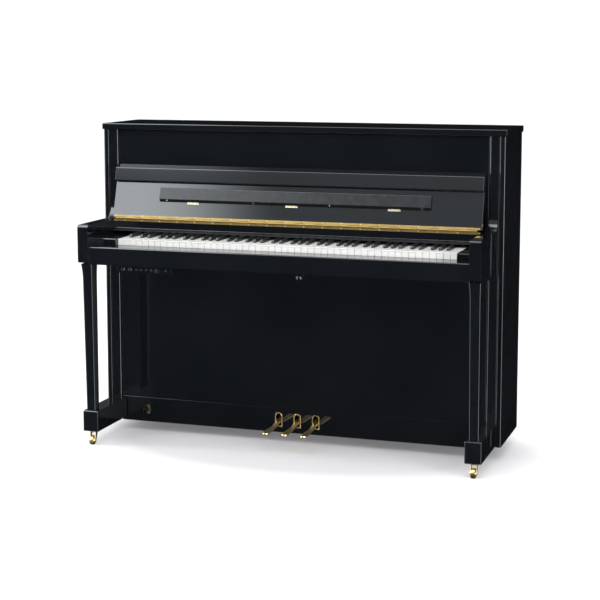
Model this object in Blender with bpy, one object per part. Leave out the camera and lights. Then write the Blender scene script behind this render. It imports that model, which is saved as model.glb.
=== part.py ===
"""Upright piano, 114 cm high, with a silent system, as separate pieces in metres.

The frame: X to the player's right, Y to the wall, Z up. The origin is on the floor, under the middle
of the box that holds the whole piano, so the player sits at -Y and the back posts are at +Y.
"""
import math

import bmesh
import bpy
from mathutils import Vector

# ---------------------------------------------------------------- driving dimensions (metres)
WIDTH = 1.490
HEIGHT = 1.140
DEPTH = 0.590
GAP = 0.0003  # between two pieces that touch

FRONT_Y = -DEPTH / 2
BACK_Y = DEPTH / 2

# case
LID_THICK = 0.022
LID_FRONT_Y = -0.023
LID_HINGE_Y = 0.2915
SIDE_OUT_X = 0.741
SIDE_IN_X = 0.7215
SIDE_FRONT_Y = -0.020
SIDE_BACK_Y = 0.290
SIDE_LOW_Z = 0.048
STILE_IN_X = 0.686
STILE_FRONT_Y = -0.016
STILE_BACK_Y = 0.022
PANEL_HALF = 0.6855
PANEL_FRONT_Y = -0.011
PANEL_THICK = 0.020
RAIL_LOW_Z = 0.036
RAIL_TOP_Z = 0.127
EDGE = 0.004  # common rounding of the case's edges

# arms, legs and toes
ARM_IN_X = 0.678
ARM_OUT_X = 0.717
ARM_TOP_Z = 0.797
ARM_LOW_Z = 0.657
ARM_TOP_COVE = 0.045
ARM_LOW_COVE = 0.030
LEG_X = 0.6945
TOE_IN_X = 0.665
TOE_OUT_X = 0.722
TOE_FRONT_Y = -0.265
TOE_LOW_Z = 0.050
TOE_TOP_Z = 0.1255

# keybed, slip, blocks and nameboard
SLIP_FRONT_Y = -0.287
SLIP_BACK_Y = -0.219
SLIP_TOP_Z = 0.7195
BED_LOW_Z = 0.6575
BED_TOP_Z = 0.690
BED_FRONT_Y = -0.2625
BED_BACK_Y = 0.130
BLOCK_FRONT_Y = -0.231
BLOCK_TOP_Z = 0.745
NAMEBOARD_FRONT_Y = -0.088
NAMEBOARD_LOW_Z = 0.758
NAMEBOARD_TOP_Z = 0.7945
SHELF_TOP_Z = 0.790

# keyboard
WHITE_COUNT = 52
WHITE_PITCH = 0.0235
KEYBOARD_SHIFT_X = 0.012  # the bass key block is the wider one
KEY_SPACE = 0.001
KEY_FRONT_Y = -0.217
KEY_BACK_Y = 0.130
KEY_LOW_Z = 0.721
KEY_TOP_Z = 0.743
SHARP_FRONT_Y = -0.166
SHARP_BACK_Y = -0.058
SHARP_TOP_Z = 0.7552
SHARP_HALF = 0.0055
BALANCE_Y = -0.005
BALANCE_Z = 0.720
WEB_FRONT_Y = -0.025
WEB_BACK_Y = 0.010
WEB_TOP_Z = 0.718
BAR_LOW_Z = 0.746
NOTES = 88
FIRST_MOVING_NOTE = 39  # middle C, counted from 0 at the lowest A
MOVING_NOTES = 12

# fallboard and the folding music shelf
HINGE_Y = -0.0915
HINGE_Z = 0.803
FALL_LEAN = math.radians(16.5)
FALL_HALF = 0.6765
FALL_LENGTH = 0.2025
FALL_THICK = 0.018
FALL_OFFSET = 0.0035
LIP_START = 0.135
LIP_PROUD = 0.0145
LIP_SLANT = 0.020
KNUCKLE_R = 0.0032
KNUCKLE_PITCH = 0.034
LEAF_HALF = 0.672
PLATE_NEAR = 0.0019
PLATE_FAR = 0.0032
SHELF_HALF = 0.498
SHELF_START = 0.065
SHELF_DEPTH = 0.050
SHELF_THICK = 0.010
SHELF_CHAMFER = 0.008

# pedals
PEDAL_SPACING = 0.070
PEDAL_HALF = 0.012
PEDAL_TIP_Y = -0.172
PEDAL_PIVOT_Y = 0.080
PEDAL_PIVOT_Z = 0.092
SLOT_HALF = 0.0135
SLOT_LOW_Z = 0.056
SLOT_TOP_Z = 0.1085

# casters
CASTER_X = 0.6935
CASTER_Y = -0.238
CASTER_TRAIL = -0.012
CASTER_R = 0.0165
CASTER_HALF = 0.008
ROLLER_X = 0.600
ROLLER_Y = 0.255
ROLLER_R = 0.029
ROLLER_HALF = 0.013
AXLE_R = 0.003
BORE_R = 0.0034
WHEEL_SIDES = 20

# back, plate and strings
POST_FRONT_Y = 0.235
POST_COUNT = 5
POST_HALF = 0.030
BEAM_LOW_Z = 0.070
BOARD_BACK_Y = 0.2195
BOARD_FRONT_Y = 0.2110
PLATE_FRONT_Y = 0.168
PLATE_BACK_Y = 0.178
STRING_Y = 0.1625
BASS_STRING_Y = 0.1585

# action
HAMMER_PIVOT = (0.117, 0.852)
DAMPER_PIVOT = (0.1525, 0.790)
STOP_PIVOT = (0.140, 0.900)
ACTION_PITCH = 0.0135
DAMPERS = 66

# silent system
BOX_X = (-0.575, -0.372)
BOX_FRONT_Y = -0.272
BOX_BACK_Y = -0.150
BOX_LOW_Z = 0.632
SOCKET_Z = 0.6455
JACK_R = 0.0034
JACK_XS = (-0.554, -0.528)
SMALL_SOCKET_XS = (-0.505, -0.486, -0.467, -0.447, -0.394)
KNOB_X = -0.421
MUTE_X = 0.088
MUTE_Y = -0.250
MUTE_Z = 0.6435


# ---------------------------------------------------------------- materials
def material(name, colour, roughness, metallic=0.0, coat=0.0):
    """A plain Principled material."""
    mat = bpy.data.materials.new(name)
    mat.use_nodes = True
    shader = mat.node_tree.nodes["Principled BSDF"]
    shader.inputs["Base Color"].default_value = (*colour, 1.0)
    shader.inputs["Roughness"].default_value = roughness
    shader.inputs["Metallic"].default_value = metallic
    shader.inputs["Coat Weight"].default_value = coat
    mat.diffuse_color = (*colour, 1.0)
    return mat


def make_materials():
    """Every finish on the piano, by name."""
    return {
        "polished_black": material("polished_black", (0.006, 0.006, 0.007), 0.06, coat=1.0),
        "brass": material("brass", (0.80, 0.58, 0.25), 0.22, metallic=1.0),
        "key_white": material("key_white", (0.86, 0.86, 0.83), 0.25),
        "key_black": material("key_black", (0.012, 0.012, 0.012), 0.35),
        "spruce": material("spruce", (0.72, 0.52, 0.30), 0.55),
        "beech": material("beech", (0.60, 0.42, 0.25), 0.55),
        "plate_gold": material("plate_gold", (0.55, 0.42, 0.20), 0.38, metallic=0.6),
        "string_steel": material("string_steel", (0.62, 0.62, 0.62), 0.25, metallic=1.0),
        "string_copper": material("string_copper", (0.62, 0.34, 0.20), 0.35, metallic=1.0),
        "felt": material("felt", (0.82, 0.80, 0.74), 0.95),
        "black_steel": material("black_steel", (0.03, 0.03, 0.03), 0.45, metallic=0.6),
        "box_plastic": material("box_plastic", (0.02, 0.02, 0.022), 0.4),
    }


# ---------------------------------------------------------------- mesh tools
def clear_scene():
    """Remove the objects of the scene that the script starts in."""
    for obj in list(bpy.data.objects):
        bpy.data.objects.remove(obj, do_unlink=True)


def arc(centre, radius, start, end, steps):
    """Points on an arc, from angle start to angle end in degrees."""
    points = []
    for i in range(steps + 1):
        angle = math.radians(start + (end - start) * i / steps)
        points.append((centre[0] + radius * math.cos(angle), centre[1] + radius * math.sin(angle)))
    return points


def circle(centre, radius, sides, turn=0.0):
    """The corners of a regular polygon; turn is in steps between two corners."""
    points = []
    for i in range(sides):
        angle = 2 * math.pi * (i + turn) / sides
        points.append((centre[0] + radius * math.cos(angle), centre[1] + radius * math.sin(angle)))
    return points


def rounded(corners, steps=3):
    """An outline whose corners (a, b, radius) are rounded where the radius isn't 0."""
    points = []
    count = len(corners)
    for i, (a, b, radius) in enumerate(corners):
        here = Vector((a, b))
        if radius == 0:
            points.append((a, b))
            continue
        before = (Vector(corners[i - 1][:2]) - here).normalized()
        after = (Vector(corners[(i + 1) % count][:2]) - here).normalized()
        half = before.angle(after) / 2
        reach = radius / math.tan(half)
        centre = here + (before + after).normalized() * (radius / math.sin(half))
        first = here + before * reach - centre
        last = here + after * reach - centre
        for k in range(steps + 1):
            blend = first.lerp(last, k / steps).normalized() * radius
            points.append(tuple(centre + blend))
    return points


def place(axis, a, b, along):
    """A 3-D point from a point of an outline and its place along the extrusion's axis."""
    if axis == "X":
        return (along, a, b)
    if axis == "Y":
        return (a, along, b)
    return (a, b, along)


def add_prism(bm, outline, axis, low, high):
    """Add an outline extruded along an axis. Outlines are (Y, Z), (X, Z) or (X, Y)."""
    near = [bm.verts.new(place(axis, a, b, low)) for a, b in outline]
    far = [bm.verts.new(place(axis, a, b, high)) for a, b in outline]
    faces = [bm.faces.new(near), bm.faces.new(far)]
    for i in range(len(outline)):
        k = (i + 1) % len(outline)
        faces.append(bm.faces.new((near[i], near[k], far[k], far[i])))
    bmesh.ops.recalc_face_normals(bm, faces=faces)


def add_box(bm, low, high):
    """Add a box between two corners."""
    outline = [(low[0], low[1]), (high[0], low[1]), (high[0], high[1]), (low[0], high[1])]
    add_prism(bm, outline, "Z", low[2], high[2])


def add_ring(bm, centre, outer, inner, axis, low, high, sides):
    """Add a ring with a flat at the bottom, extruded along an axis."""
    rings = []
    for along in (low, high):
        for radius in (outer, inner):
            points = circle(centre, radius, sides, 0.5)
            rings.append([bm.verts.new(place(axis, a, b, along)) for a, b in points])
    outer_low, inner_low, outer_high, inner_high = rings
    faces = []
    for i in range(sides):
        k = (i + 1) % sides
        for one, two in (
            (outer_low, outer_high),
            (outer_high, inner_high),
            (inner_high, inner_low),
            (inner_low, outer_low),
        ):
            faces.append(bm.faces.new((one[i], one[k], two[k], two[i])))
    bmesh.ops.recalc_face_normals(bm, faces=faces)


def add_loft(bm, sections):
    """Add a square bar through sections (z, centre x, centre y, width x, width y)."""
    rings = []
    for z, x, y, wide, deep in sections:
        corners = ((-1, -1), (1, -1), (1, 1), (-1, 1))
        rings.append([bm.verts.new((x + i * wide / 2, y + k * deep / 2, z)) for i, k in corners])
    faces = [bm.faces.new(rings[0]), bm.faces.new(rings[-1])]
    for low, high in zip(rings, rings[1:]):
        for i in range(4):
            k = (i + 1) % 4
            faces.append(bm.faces.new((low[i], low[k], high[k], high[i])))
    bmesh.ops.recalc_face_normals(bm, faces=faces)


def add_piece(name, bm, mat, origin=(0.0, 0.0, 0.0)):
    """Turn a bmesh in world coordinates into a named object with its origin at a point."""
    bmesh.ops.translate(bm, verts=bm.verts, vec=-Vector(origin))
    mesh = bpy.data.meshes.new(name)
    bm.to_mesh(mesh)
    bm.free()
    mesh.materials.append(mat)
    obj = bpy.data.objects.new(name, mesh)
    obj.location = origin
    bpy.context.scene.collection.objects.link(obj)
    return obj


def soften(obj, width, segments=2):
    """Round the edges of a piece."""
    bevel = obj.modifiers.new("soft_edges", "BEVEL")
    bevel.width = width
    bevel.segments = segments
    bevel.limit_method = "ANGLE"
    bevel.angle_limit = math.radians(40)
    return obj


def combine(obj, name, fill, operation):
    """Join a guide solid to a piece, or cut it out. fill(bm) builds the guide in world coordinates."""
    bm = bmesh.new()
    fill(bm)
    guide = add_piece(name, bm, obj.data.materials[0], tuple(obj.location))
    guide.hide_render = True
    guide.display_type = "WIRE"
    step = obj.modifiers.new(name, "BOOLEAN")
    step.operation = operation
    step.solver = "EXACT"
    step.object = guide
    return obj


def prism_piece(name, outline, axis, low, high, mat, origin=(0.0, 0.0, 0.0)):
    """A piece made of one extruded outline."""
    bm = bmesh.new()
    add_prism(bm, outline, axis, low, high)
    return add_piece(name, bm, mat, origin)


def box_piece(name, low, high, mat, origin=(0.0, 0.0, 0.0)):
    """A piece made of one box."""
    bm = bmesh.new()
    add_box(bm, low, high)
    return add_piece(name, bm, mat, origin)


def mirrored(outline, side):
    """An outline in X mirrored to the left when side is -1."""
    return [(a * side, b) for a, b in outline]


def side_name(side):
    return "left" if side < 0 else "right"


# ---------------------------------------------------------------- case
def make_side(side, mats):
    """A side panel with the front stile glued inside it, and a groove where they meet."""
    corners = [
        (SIDE_OUT_X, SIDE_BACK_Y, 0),
        (SIDE_IN_X, SIDE_BACK_Y, 0),
        (SIDE_IN_X, STILE_BACK_Y, 0),
        (STILE_IN_X, STILE_BACK_Y, 0),
        (STILE_IN_X, STILE_FRONT_Y, 0.006),
        (SIDE_IN_X - 0.0015, STILE_FRONT_Y, 0),
        (SIDE_IN_X - 0.0005, STILE_FRONT_Y + 0.003, 0),
        (SIDE_IN_X + 0.0005, SIDE_FRONT_Y, 0.003),
        (SIDE_OUT_X, SIDE_FRONT_Y, 0.005),
    ]
    outline = mirrored(rounded(corners), side)
    top = HEIGHT - LID_THICK - GAP
    name = "side_panel_" + side_name(side)
    return prism_piece(name, outline, "Z", SIDE_LOW_Z, top, mats["polished_black"])


def make_arm(side, mats):
    """An arm beside the keys, coved where it meets the case."""
    rear = STILE_FRONT_Y - GAP
    top_cove = arc((rear - ARM_TOP_COVE, ARM_TOP_Z + ARM_TOP_COVE), ARM_TOP_COVE, 270, 360, 6)
    low_cove = arc((rear - ARM_LOW_COVE, ARM_LOW_Z - ARM_LOW_COVE), ARM_LOW_COVE, 0, 90, 6)
    nose = rounded(
        [(FRONT_Y, ARM_LOW_Z, 0.010), (FRONT_Y, ARM_TOP_Z, 0.010), (rear, ARM_TOP_Z, 0)]
    )[:-1]
    outline = nose + top_cove + low_cove
    ends = sorted((side * ARM_IN_X, side * ARM_OUT_X))
    name = "arm_" + side_name(side)
    arm = prism_piece(name, outline, "X", ends[0], ends[1], mats["polished_black"])
    return soften(arm, 0.003, 1)


def make_leg(side, mats):
    """A tapered leg that flares under the arm."""
    bm = bmesh.new()
    x = side * LEG_X
    add_loft(
        bm,
        [
            (TOE_TOP_Z + GAP, x, -0.2400, 0.034, 0.034),
            (0.600, x, -0.2480, 0.037, 0.042),
            (0.630, x, -0.2495, 0.0385, 0.0445),
            (ARM_LOW_Z - GAP, x, -0.2515, 0.042, 0.050),
        ],
    )
    leg = add_piece("leg_" + side_name(side), bm, mats["polished_black"])
    return soften(leg, 0.003, 1)


def make_toe(side, mats):
    """The toe that runs forward from the case to the front caster."""
    ends = sorted((side * TOE_IN_X, side * TOE_OUT_X))
    low = (ends[0], TOE_FRONT_Y, TOE_LOW_Z)
    high = (ends[1], STILE_FRONT_Y - GAP, TOE_TOP_Z)
    toe = box_piece("toe_" + side_name(side), low, high, mats["polished_black"])
    return soften(toe, EDGE)


def make_lid(mats):
    """The one-piece top lid, hinged along its back edge."""
    origin = (0.0, LID_HINGE_Y, HEIGHT - LID_THICK)
    corners = [
        (LID_FRONT_Y, HEIGHT - LID_THICK, 0.005),
        (LID_FRONT_Y, HEIGHT, 0.008),
        (BACK_Y, HEIGHT, 0.003),
        (BACK_Y, HEIGHT - LID_THICK, 0),
    ]
    half = WIDTH / 2
    lid = prism_piece("top_lid", rounded(corners), "X", -half, half, mats["polished_black"], origin)
    return soften(lid, 0.003, 1)


def make_panels(mats):
    """The lift-off front panels above and below the keys."""
    black = mats["polished_black"]
    back = PANEL_FRONT_Y + PANEL_THICK
    top = HEIGHT - LID_THICK - 0.0015
    upper = box_piece(
        "upper_front_panel",
        (-PANEL_HALF, PANEL_FRONT_Y, SHELF_TOP_Z + GAP),
        (PANEL_HALF, back, top),
        black,
    )
    soften(upper, 0.002, 1)
    lower = box_piece(
        "lower_front_panel",
        (-PANEL_HALF, PANEL_FRONT_Y, RAIL_TOP_Z + 0.001),
        (PANEL_HALF, back, BED_LOW_Z - 0.0015),
        black,
    )
    soften(lower, 0.002, 1)


def pedal_places():
    """The three pedals, left to right."""
    return (("soft", -PEDAL_SPACING), ("middle", 0.0), ("sustain", PEDAL_SPACING))


def make_bottom(mats):
    """The bottom rail with its three pedal slots, and the bottom board behind it."""
    rail = box_piece(
        "bottom_rail",
        (-PANEL_HALF, PANEL_FRONT_Y, RAIL_LOW_Z),
        (PANEL_HALF, PANEL_FRONT_Y + 0.024, RAIL_TOP_Z),
        mats["polished_black"],
    )

    def slots(bm):
        for _, x in pedal_places():
            crown = arc((x, SLOT_TOP_Z - SLOT_HALF), SLOT_HALF, 0, 180, 8)
            outline = [(x - SLOT_HALF, SLOT_LOW_Z), (x + SLOT_HALF, SLOT_LOW_Z)] + crown
            add_prism(bm, outline, "Y", PANEL_FRONT_Y - 0.01, PANEL_FRONT_Y + 0.05)

    combine(rail, "pedal_slot_cutter", slots, "DIFFERENCE")
    half = SIDE_IN_X - GAP
    box_piece("bottom_board", (-half, STILE_BACK_Y + 0.0005, 0.050), (half, 0.215, 0.068), mats["beech"])


# ---------------------------------------------------------------- keybed and what stands on it
def make_keybed(mats):
    """The keybed with the front, balance and back rails of the key frame."""
    balance_top = 0.7115
    outline = [
        (BED_FRONT_Y, BED_LOW_Z),
        (BED_BACK_Y, BED_LOW_Z),
        (BED_BACK_Y, BED_TOP_Z),
        (0.125, BED_TOP_Z),
        (0.125, KEY_LOW_Z - 0.0005),
        (0.098, KEY_LOW_Z - 0.0005),
        (0.098, BED_TOP_Z),
        (BALANCE_Y + 0.010, BED_TOP_Z),
        (BALANCE_Y + 0.010, balance_top),
        (BALANCE_Y - 0.010, balance_top),
        (BALANCE_Y - 0.010, BED_TOP_Z),
        (-0.150, BED_TOP_Z),
        (-0.150, 0.706),
        (-0.195, 0.706),
        (-0.195, BED_TOP_Z),
        (BED_FRONT_Y, BED_TOP_Z),
    ]
    half = ARM_IN_X - GAP
    prism_piece("keybed", outline, "X", -half, half, mats["beech"])


def make_slip(mats):
    """The key slip: a front board with a ledge that reaches back to the keys."""
    outline = rounded(
        [
            (SLIP_FRONT_Y, BED_LOW_Z, 0.003),
            (SLIP_FRONT_Y, SLIP_TOP_Z, 0.004),
            (SLIP_BACK_Y, SLIP_TOP_Z, 0.001),
            (SLIP_BACK_Y, SLIP_TOP_Z - 0.015, 0),
            (BED_FRONT_Y - GAP, SLIP_TOP_Z - 0.015, 0),
            (BED_FRONT_Y - GAP, BED_LOW_Z, 0),
        ],
        2,
    )
    half = ARM_IN_X - GAP
    prism_piece("key_slip", outline, "X", -half, half, mats["polished_black"])


def keyboard_edge(side):
    """Where the outermost key ends."""
    return KEYBOARD_SHIFT_X + side * WHITE_COUNT * WHITE_PITCH / 2


def make_block(side, mats):
    """The block that fills the keybed between the outermost key and the arm."""
    outline = rounded(
        [
            (SLIP_BACK_Y + 0.0005, BED_TOP_Z + GAP, 0),
            (SLIP_BACK_Y + 0.0005, SLIP_TOP_Z + GAP, 0),
            (BLOCK_FRONT_Y, SLIP_TOP_Z + GAP, 0),
            (BLOCK_FRONT_Y, BLOCK_TOP_Z, 0.003),
            (-0.040, BLOCK_TOP_Z, 0),
            (-0.040, BED_TOP_Z + 0.003, 0),
            (-0.149, BED_TOP_Z + 0.003, 0),
            (-0.149, 0.7075, 0),
            (-0.196, 0.7075, 0),
            (-0.196, BED_TOP_Z + GAP, 0),
        ],
        2,
    )
    ends = sorted((keyboard_edge(side) + side * 0.001, side * (ARM_IN_X - GAP)))
    name = "key_block_" + side_name(side)
    prism_piece(name, outline, "X", ends[0], ends[1], mats["polished_black"])


def make_nameboard(mats):
    """The board behind the keys, with the shelf that the upper panel stands on."""
    front = NAMEBOARD_FRONT_Y
    outline = [
        (front, NAMEBOARD_LOW_Z),
        (front + 0.018, NAMEBOARD_LOW_Z),
        (front + 0.018, SHELF_TOP_Z - 0.015),
        (PANEL_FRONT_Y + PANEL_THICK, SHELF_TOP_Z - 0.015),
        (PANEL_FRONT_Y + PANEL_THICK, SHELF_TOP_Z),
        (front + 0.010, SHELF_TOP_Z),
        (front + 0.009, NAMEBOARD_TOP_Z),
        (front, NAMEBOARD_TOP_Z),
    ]
    half = ARM_IN_X - GAP
    prism_piece("nameboard", outline, "X", -half, half, mats["polished_black"])


# ---------------------------------------------------------------- keys
def is_sharp(note):
    """Whether a note, counted from 0 at the lowest A, is a black key."""
    return note % 12 in (1, 4, 6, 9, 11)


def white_index(note):
    """How many white keys lie left of a note."""
    return sum(1 for other in range(note) if not is_sharp(other))


def sharp_centre(note):
    """The middle of a black key: off the joint between its neighbours, as on any keyboard."""
    nudge = {4: -0.0025, 6: 0.0025, 9: -0.0035, 11: 0.0, 1: 0.0035}[note % 12]
    return keyboard_edge(-1) + white_index(note) * WHITE_PITCH + nudge


def white_sides(note):
    """The left and right sides (X) of a white key's front."""
    left = keyboard_edge(-1) + white_index(note) * WHITE_PITCH + KEY_SPACE / 2
    return left, left + WHITE_PITCH - KEY_SPACE


def tail_sides(note):
    """The left and right sides (X) of a white key where it passes between the black keys."""
    left, right = white_sides(note)
    if note > 0 and is_sharp(note - 1):
        left = sharp_centre(note - 1) + SHARP_HALF + KEY_SPACE
    if note < NOTES - 1 and is_sharp(note + 1):
        right = sharp_centre(note + 1) - SHARP_HALF - KEY_SPACE
    return left, right


def add_white_key(bm, note):
    """A white key, cut away beside the black keys."""
    left, right = white_sides(note)
    tail_left, tail_right = tail_sides(note)
    shoulder = SHARP_FRONT_Y - KEY_SPACE
    outline = [(left, KEY_FRONT_Y), (right, KEY_FRONT_Y)]
    if tail_right < right:
        outline += [(right, shoulder), (tail_right, shoulder)]
    outline += [(tail_right, KEY_BACK_Y), (tail_left, KEY_BACK_Y)]
    if tail_left > left:
        outline += [(tail_left, shoulder), (left, shoulder)]
    add_prism(bm, outline, "Z", KEY_LOW_Z, KEY_TOP_Z)


def add_sharp_key(bm, note, bump):
    """A black key, with a sloping front. bump carries it up to the shared bar."""
    x = sharp_centre(note)
    outline = [
        (SHARP_FRONT_Y, KEY_LOW_Z),
        (SHARP_FRONT_Y, KEY_TOP_Z + 0.001),
        (SHARP_FRONT_Y + 0.006, SHARP_TOP_Z),
        (SHARP_BACK_Y, SHARP_TOP_Z),
        (SHARP_BACK_Y, KEY_TOP_Z),
        (KEY_BACK_Y, KEY_TOP_Z),
        (KEY_BACK_Y, KEY_LOW_Z),
    ]
    if bump:
        rise = KEY_TOP_Z + 0.0045
        outline[5:5] = [
            (BALANCE_Y - 0.012, KEY_TOP_Z),
            (BALANCE_Y - 0.012, rise),
            (BALANCE_Y + 0.008, rise),
            (BALANCE_Y + 0.008, KEY_TOP_Z),
        ]
    add_prism(bm, outline, "X", x - SHARP_HALF, x + SHARP_HALF)


def note_name(note):
    """The key's node name, such as key_c4 or key_c_sharp_4."""
    letters = ("a", "a_sharp_", "b", "c", "c_sharp_", "d", "d_sharp_", "e", "f", "f_sharp_", "g", "g_sharp_")
    octave = (note + 9) // 12
    return "key_" + letters[note % 12] + str(octave)


def moving_notes():
    """The notes whose keys are single pieces."""
    return range(FIRST_MOVING_NOTE, FIRST_MOVING_NOTE + MOVING_NOTES)


def set_notes(sharps):
    """The notes of the set of white keys, or of the set of black keys."""
    return [n for n in range(NOTES) if n not in moving_notes() and is_sharp(n) == sharps]


def make_moving_keys(mats):
    """The keys of middle C's octave, each on its own."""
    origin = (0.0, BALANCE_Y, BALANCE_Z)
    for note in moving_notes():
        bm = bmesh.new()
        if is_sharp(note):
            add_sharp_key(bm, note, False)
            add_piece(note_name(note), bm, mats["key_black"], origin)
        else:
            add_white_key(bm, note)
            add_piece(note_name(note), bm, mats["key_white"], origin)


def make_key_sets(mats):
    """The other white keys on one web under the balance point, and the black keys on a bar above it."""
    origin = (0.0, BALANCE_Y, BALANCE_Z)
    left = keyboard_edge(-1) + 0.003
    right = keyboard_edge(1) - 0.003

    def whites(bm):
        for note in set_notes(False):
            add_white_key(bm, note)

    def feet(bm):
        for note in set_notes(False):
            x = sum(tail_sides(note)) / 2
            low = (x - 0.003, BALANCE_Y - 0.012, WEB_TOP_Z - 0.002)
            add_box(bm, low, (x + 0.003, BALANCE_Y + 0.008, KEY_LOW_Z + 0.002))

    def sharps(bm):
        for note in set_notes(True):
            add_sharp_key(bm, note, True)

    web_low = (left, WEB_FRONT_Y, WEB_TOP_Z - 0.005)
    web = box_piece("white_keys", web_low, (right, WEB_BACK_Y, WEB_TOP_Z), mats["key_white"], origin)
    combine(web, "white_key_feet", feet, "UNION")
    combine(web, "white_key_set", whites, "UNION")
    bar_high = (right, WEB_BACK_Y, BAR_LOW_Z + 0.004)
    bar = box_piece("black_keys", (left, WEB_FRONT_Y, BAR_LOW_Z), bar_high, mats["key_black"], origin)
    combine(bar, "black_key_set", sharps, "UNION")


# ---------------------------------------------------------------- fallboard, its hinge and the music shelf
def fall_point(u, v):
    """A point (Y, Z) on the open fallboard: u up along it from the hinge, v away from the player."""
    y = HINGE_Y + u * math.sin(FALL_LEAN) + v * math.cos(FALL_LEAN)
    z = HINGE_Z + u * math.cos(FALL_LEAN) - v * math.sin(FALL_LEAN)
    return (y, z)


def hanging_point(u, v):
    """A point (Y, Z) on the fixed leaf: u down along it from the barrel, v away from the player."""
    return (HINGE_Y + v, HINGE_Z - u)


def make_fallboard(mats):
    """The fallboard, open, with its thicker front rail and slanted end at the top."""
    low = 0.0045
    face = FALL_OFFSET
    back = FALL_OFFSET + FALL_THICK
    corners = [
        (low, face, 0),
        (LIP_START, face, 0),
        (LIP_START, -LIP_PROUD, 0.003),
        (FALL_LENGTH - LIP_SLANT, -LIP_PROUD, 0.004),
        (FALL_LENGTH, back - 0.003, 0.002),
        (FALL_LENGTH, back, 0.001),
        (low, back, 0.002),
    ]
    outline = [fall_point(u, v) for u, v in rounded(corners)]
    origin = (0.0, HINGE_Y, HINGE_Z)
    prism_piece("fallboard", outline, "X", -FALL_HALF, FALL_HALF, mats["polished_black"], origin)


def make_leaf(name, to_world, length, first, mats):
    """One leaf of the long hinge: a plate that stops short of the barrel, and every second knuckle."""
    origin = (0.0, HINGE_Y, HINGE_Z)
    start = KNUCKLE_R + 0.0013
    plate = [(start, PLATE_NEAR), (length, PLATE_NEAR), (length, PLATE_FAR), (start, PLATE_FAR)]
    near = PLATE_NEAR + 0.0001
    far = PLATE_FAR - 0.0001
    barrel = arc((0.0, 0.0), KNUCKLE_R, 90, 399, 8)
    knuckle = [(start + 0.0007, far), (0.0010, far)] + barrel + [(start + 0.0007, near)]
    outline = [to_world(u, v) for u, v in plate]
    leaf = prism_piece(name, outline, "X", -LEAF_HALF, LEAF_HALF, mats["brass"], origin)

    def knuckles(bm):
        count = int(2 * LEAF_HALF / KNUCKLE_PITCH)
        shape = [to_world(u, v) for u, v in knuckle]
        for i in range(first, count, 2):
            x = (i - count / 2) * KNUCKLE_PITCH
            add_prism(bm, shape, "X", x + 0.0005, x + KNUCKLE_PITCH - 0.0005)

    combine(leaf, name + "_knuckles", knuckles, "UNION")


def make_hinge(mats):
    """The long brass hinge: one leaf on the nameboard and one on the fallboard."""
    make_leaf("nameboard_hinge_leaf", hanging_point, 0.0115, 0, mats)
    make_leaf("fallboard_hinge_leaf", fall_point, 0.0120, 1, mats)


def make_music_shelf(mats):
    """The shelf that lies on the fallboard, bevelled below, and folds down to hold the music."""
    back = FALL_OFFSET - 0.0005
    front = back - SHELF_THICK
    top = SHELF_START + SHELF_DEPTH
    corners = [
        (SHELF_START, back, 0),
        (SHELF_START, back - 0.002, 0),
        (SHELF_START + SHELF_CHAMFER, front, 0),
        (top, front, 0.003),
        (top, back, 0),
    ]
    outline = [fall_point(u, v) for u, v in rounded(corners, 2)]
    origin = (0.0, *fall_point(SHELF_START - 0.001, back - 0.0015))
    prism_piece("music_shelf", outline, "X", -SHELF_HALF, SHELF_HALF, mats["polished_black"], origin)


# ---------------------------------------------------------------- pedals
def make_pedals(mats):
    """Three brass pedals: a flat tongue, a neck that rises to the slot, and a lever to the pivot."""
    outline = rounded(
        [
            (PEDAL_TIP_Y, 0.0620, 0.003),
            (PEDAL_TIP_Y, 0.0710, 0.003),
            (-0.062, 0.0710, 0.020),
            (-0.040, 0.0975, 0.020),
            (-0.006, 0.0985, 0.010),
            (PEDAL_PIVOT_Y + 0.012, 0.0985, 0.004),
            (PEDAL_PIVOT_Y + 0.012, 0.0865, 0.004),
            (-0.034, 0.0865, 0.012),
            (-0.054, 0.0610, 0.016),
        ]
    )
    for name, x in pedal_places():
        origin = (x, PEDAL_PIVOT_Y, PEDAL_PIVOT_Z)
        low = x - PEDAL_HALF
        pedal = prism_piece("pedal_" + name, outline, "X", low, x + PEDAL_HALF, mats["brass"], origin)
        soften(pedal, 0.002, 1)


# ---------------------------------------------------------------- casters
def make_wheel(name, centre, radius, half, mat):
    """A wheel that turns on its axle about X, with a flat on the floor."""
    bm = bmesh.new()
    outer = radius / math.cos(math.pi / WHEEL_SIDES)
    add_ring(bm, centre[1:], outer, BORE_R, "X", centre[0] - half, centre[0] + half, WHEEL_SIDES)
    return add_piece(name, bm, mat, centre)


def add_cheeks(bm, centre, half, top, top_y, top_half):
    """The two cheeks beside a wheel, from its axle up to the plate above."""
    x, y, z = centre
    clear = half + 0.0008
    foot = arc((y, z), 0.0065, 180, 360, 6)
    outline = foot + [(top_y + top_half, top), (top_y - top_half, top)]
    for side in (-1, 1):
        ends = sorted((x + side * clear, x + side * (clear + 0.0028)))
        add_prism(bm, outline, "X", ends[0], ends[1])


def add_axle(bm, centre, half):
    """The axle through a wheel, from cheek to cheek."""
    reach = half + 0.002
    add_prism(bm, circle(centre[1:], AXLE_R, 12), "X", centre[0] - reach, centre[0] + reach)


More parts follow.
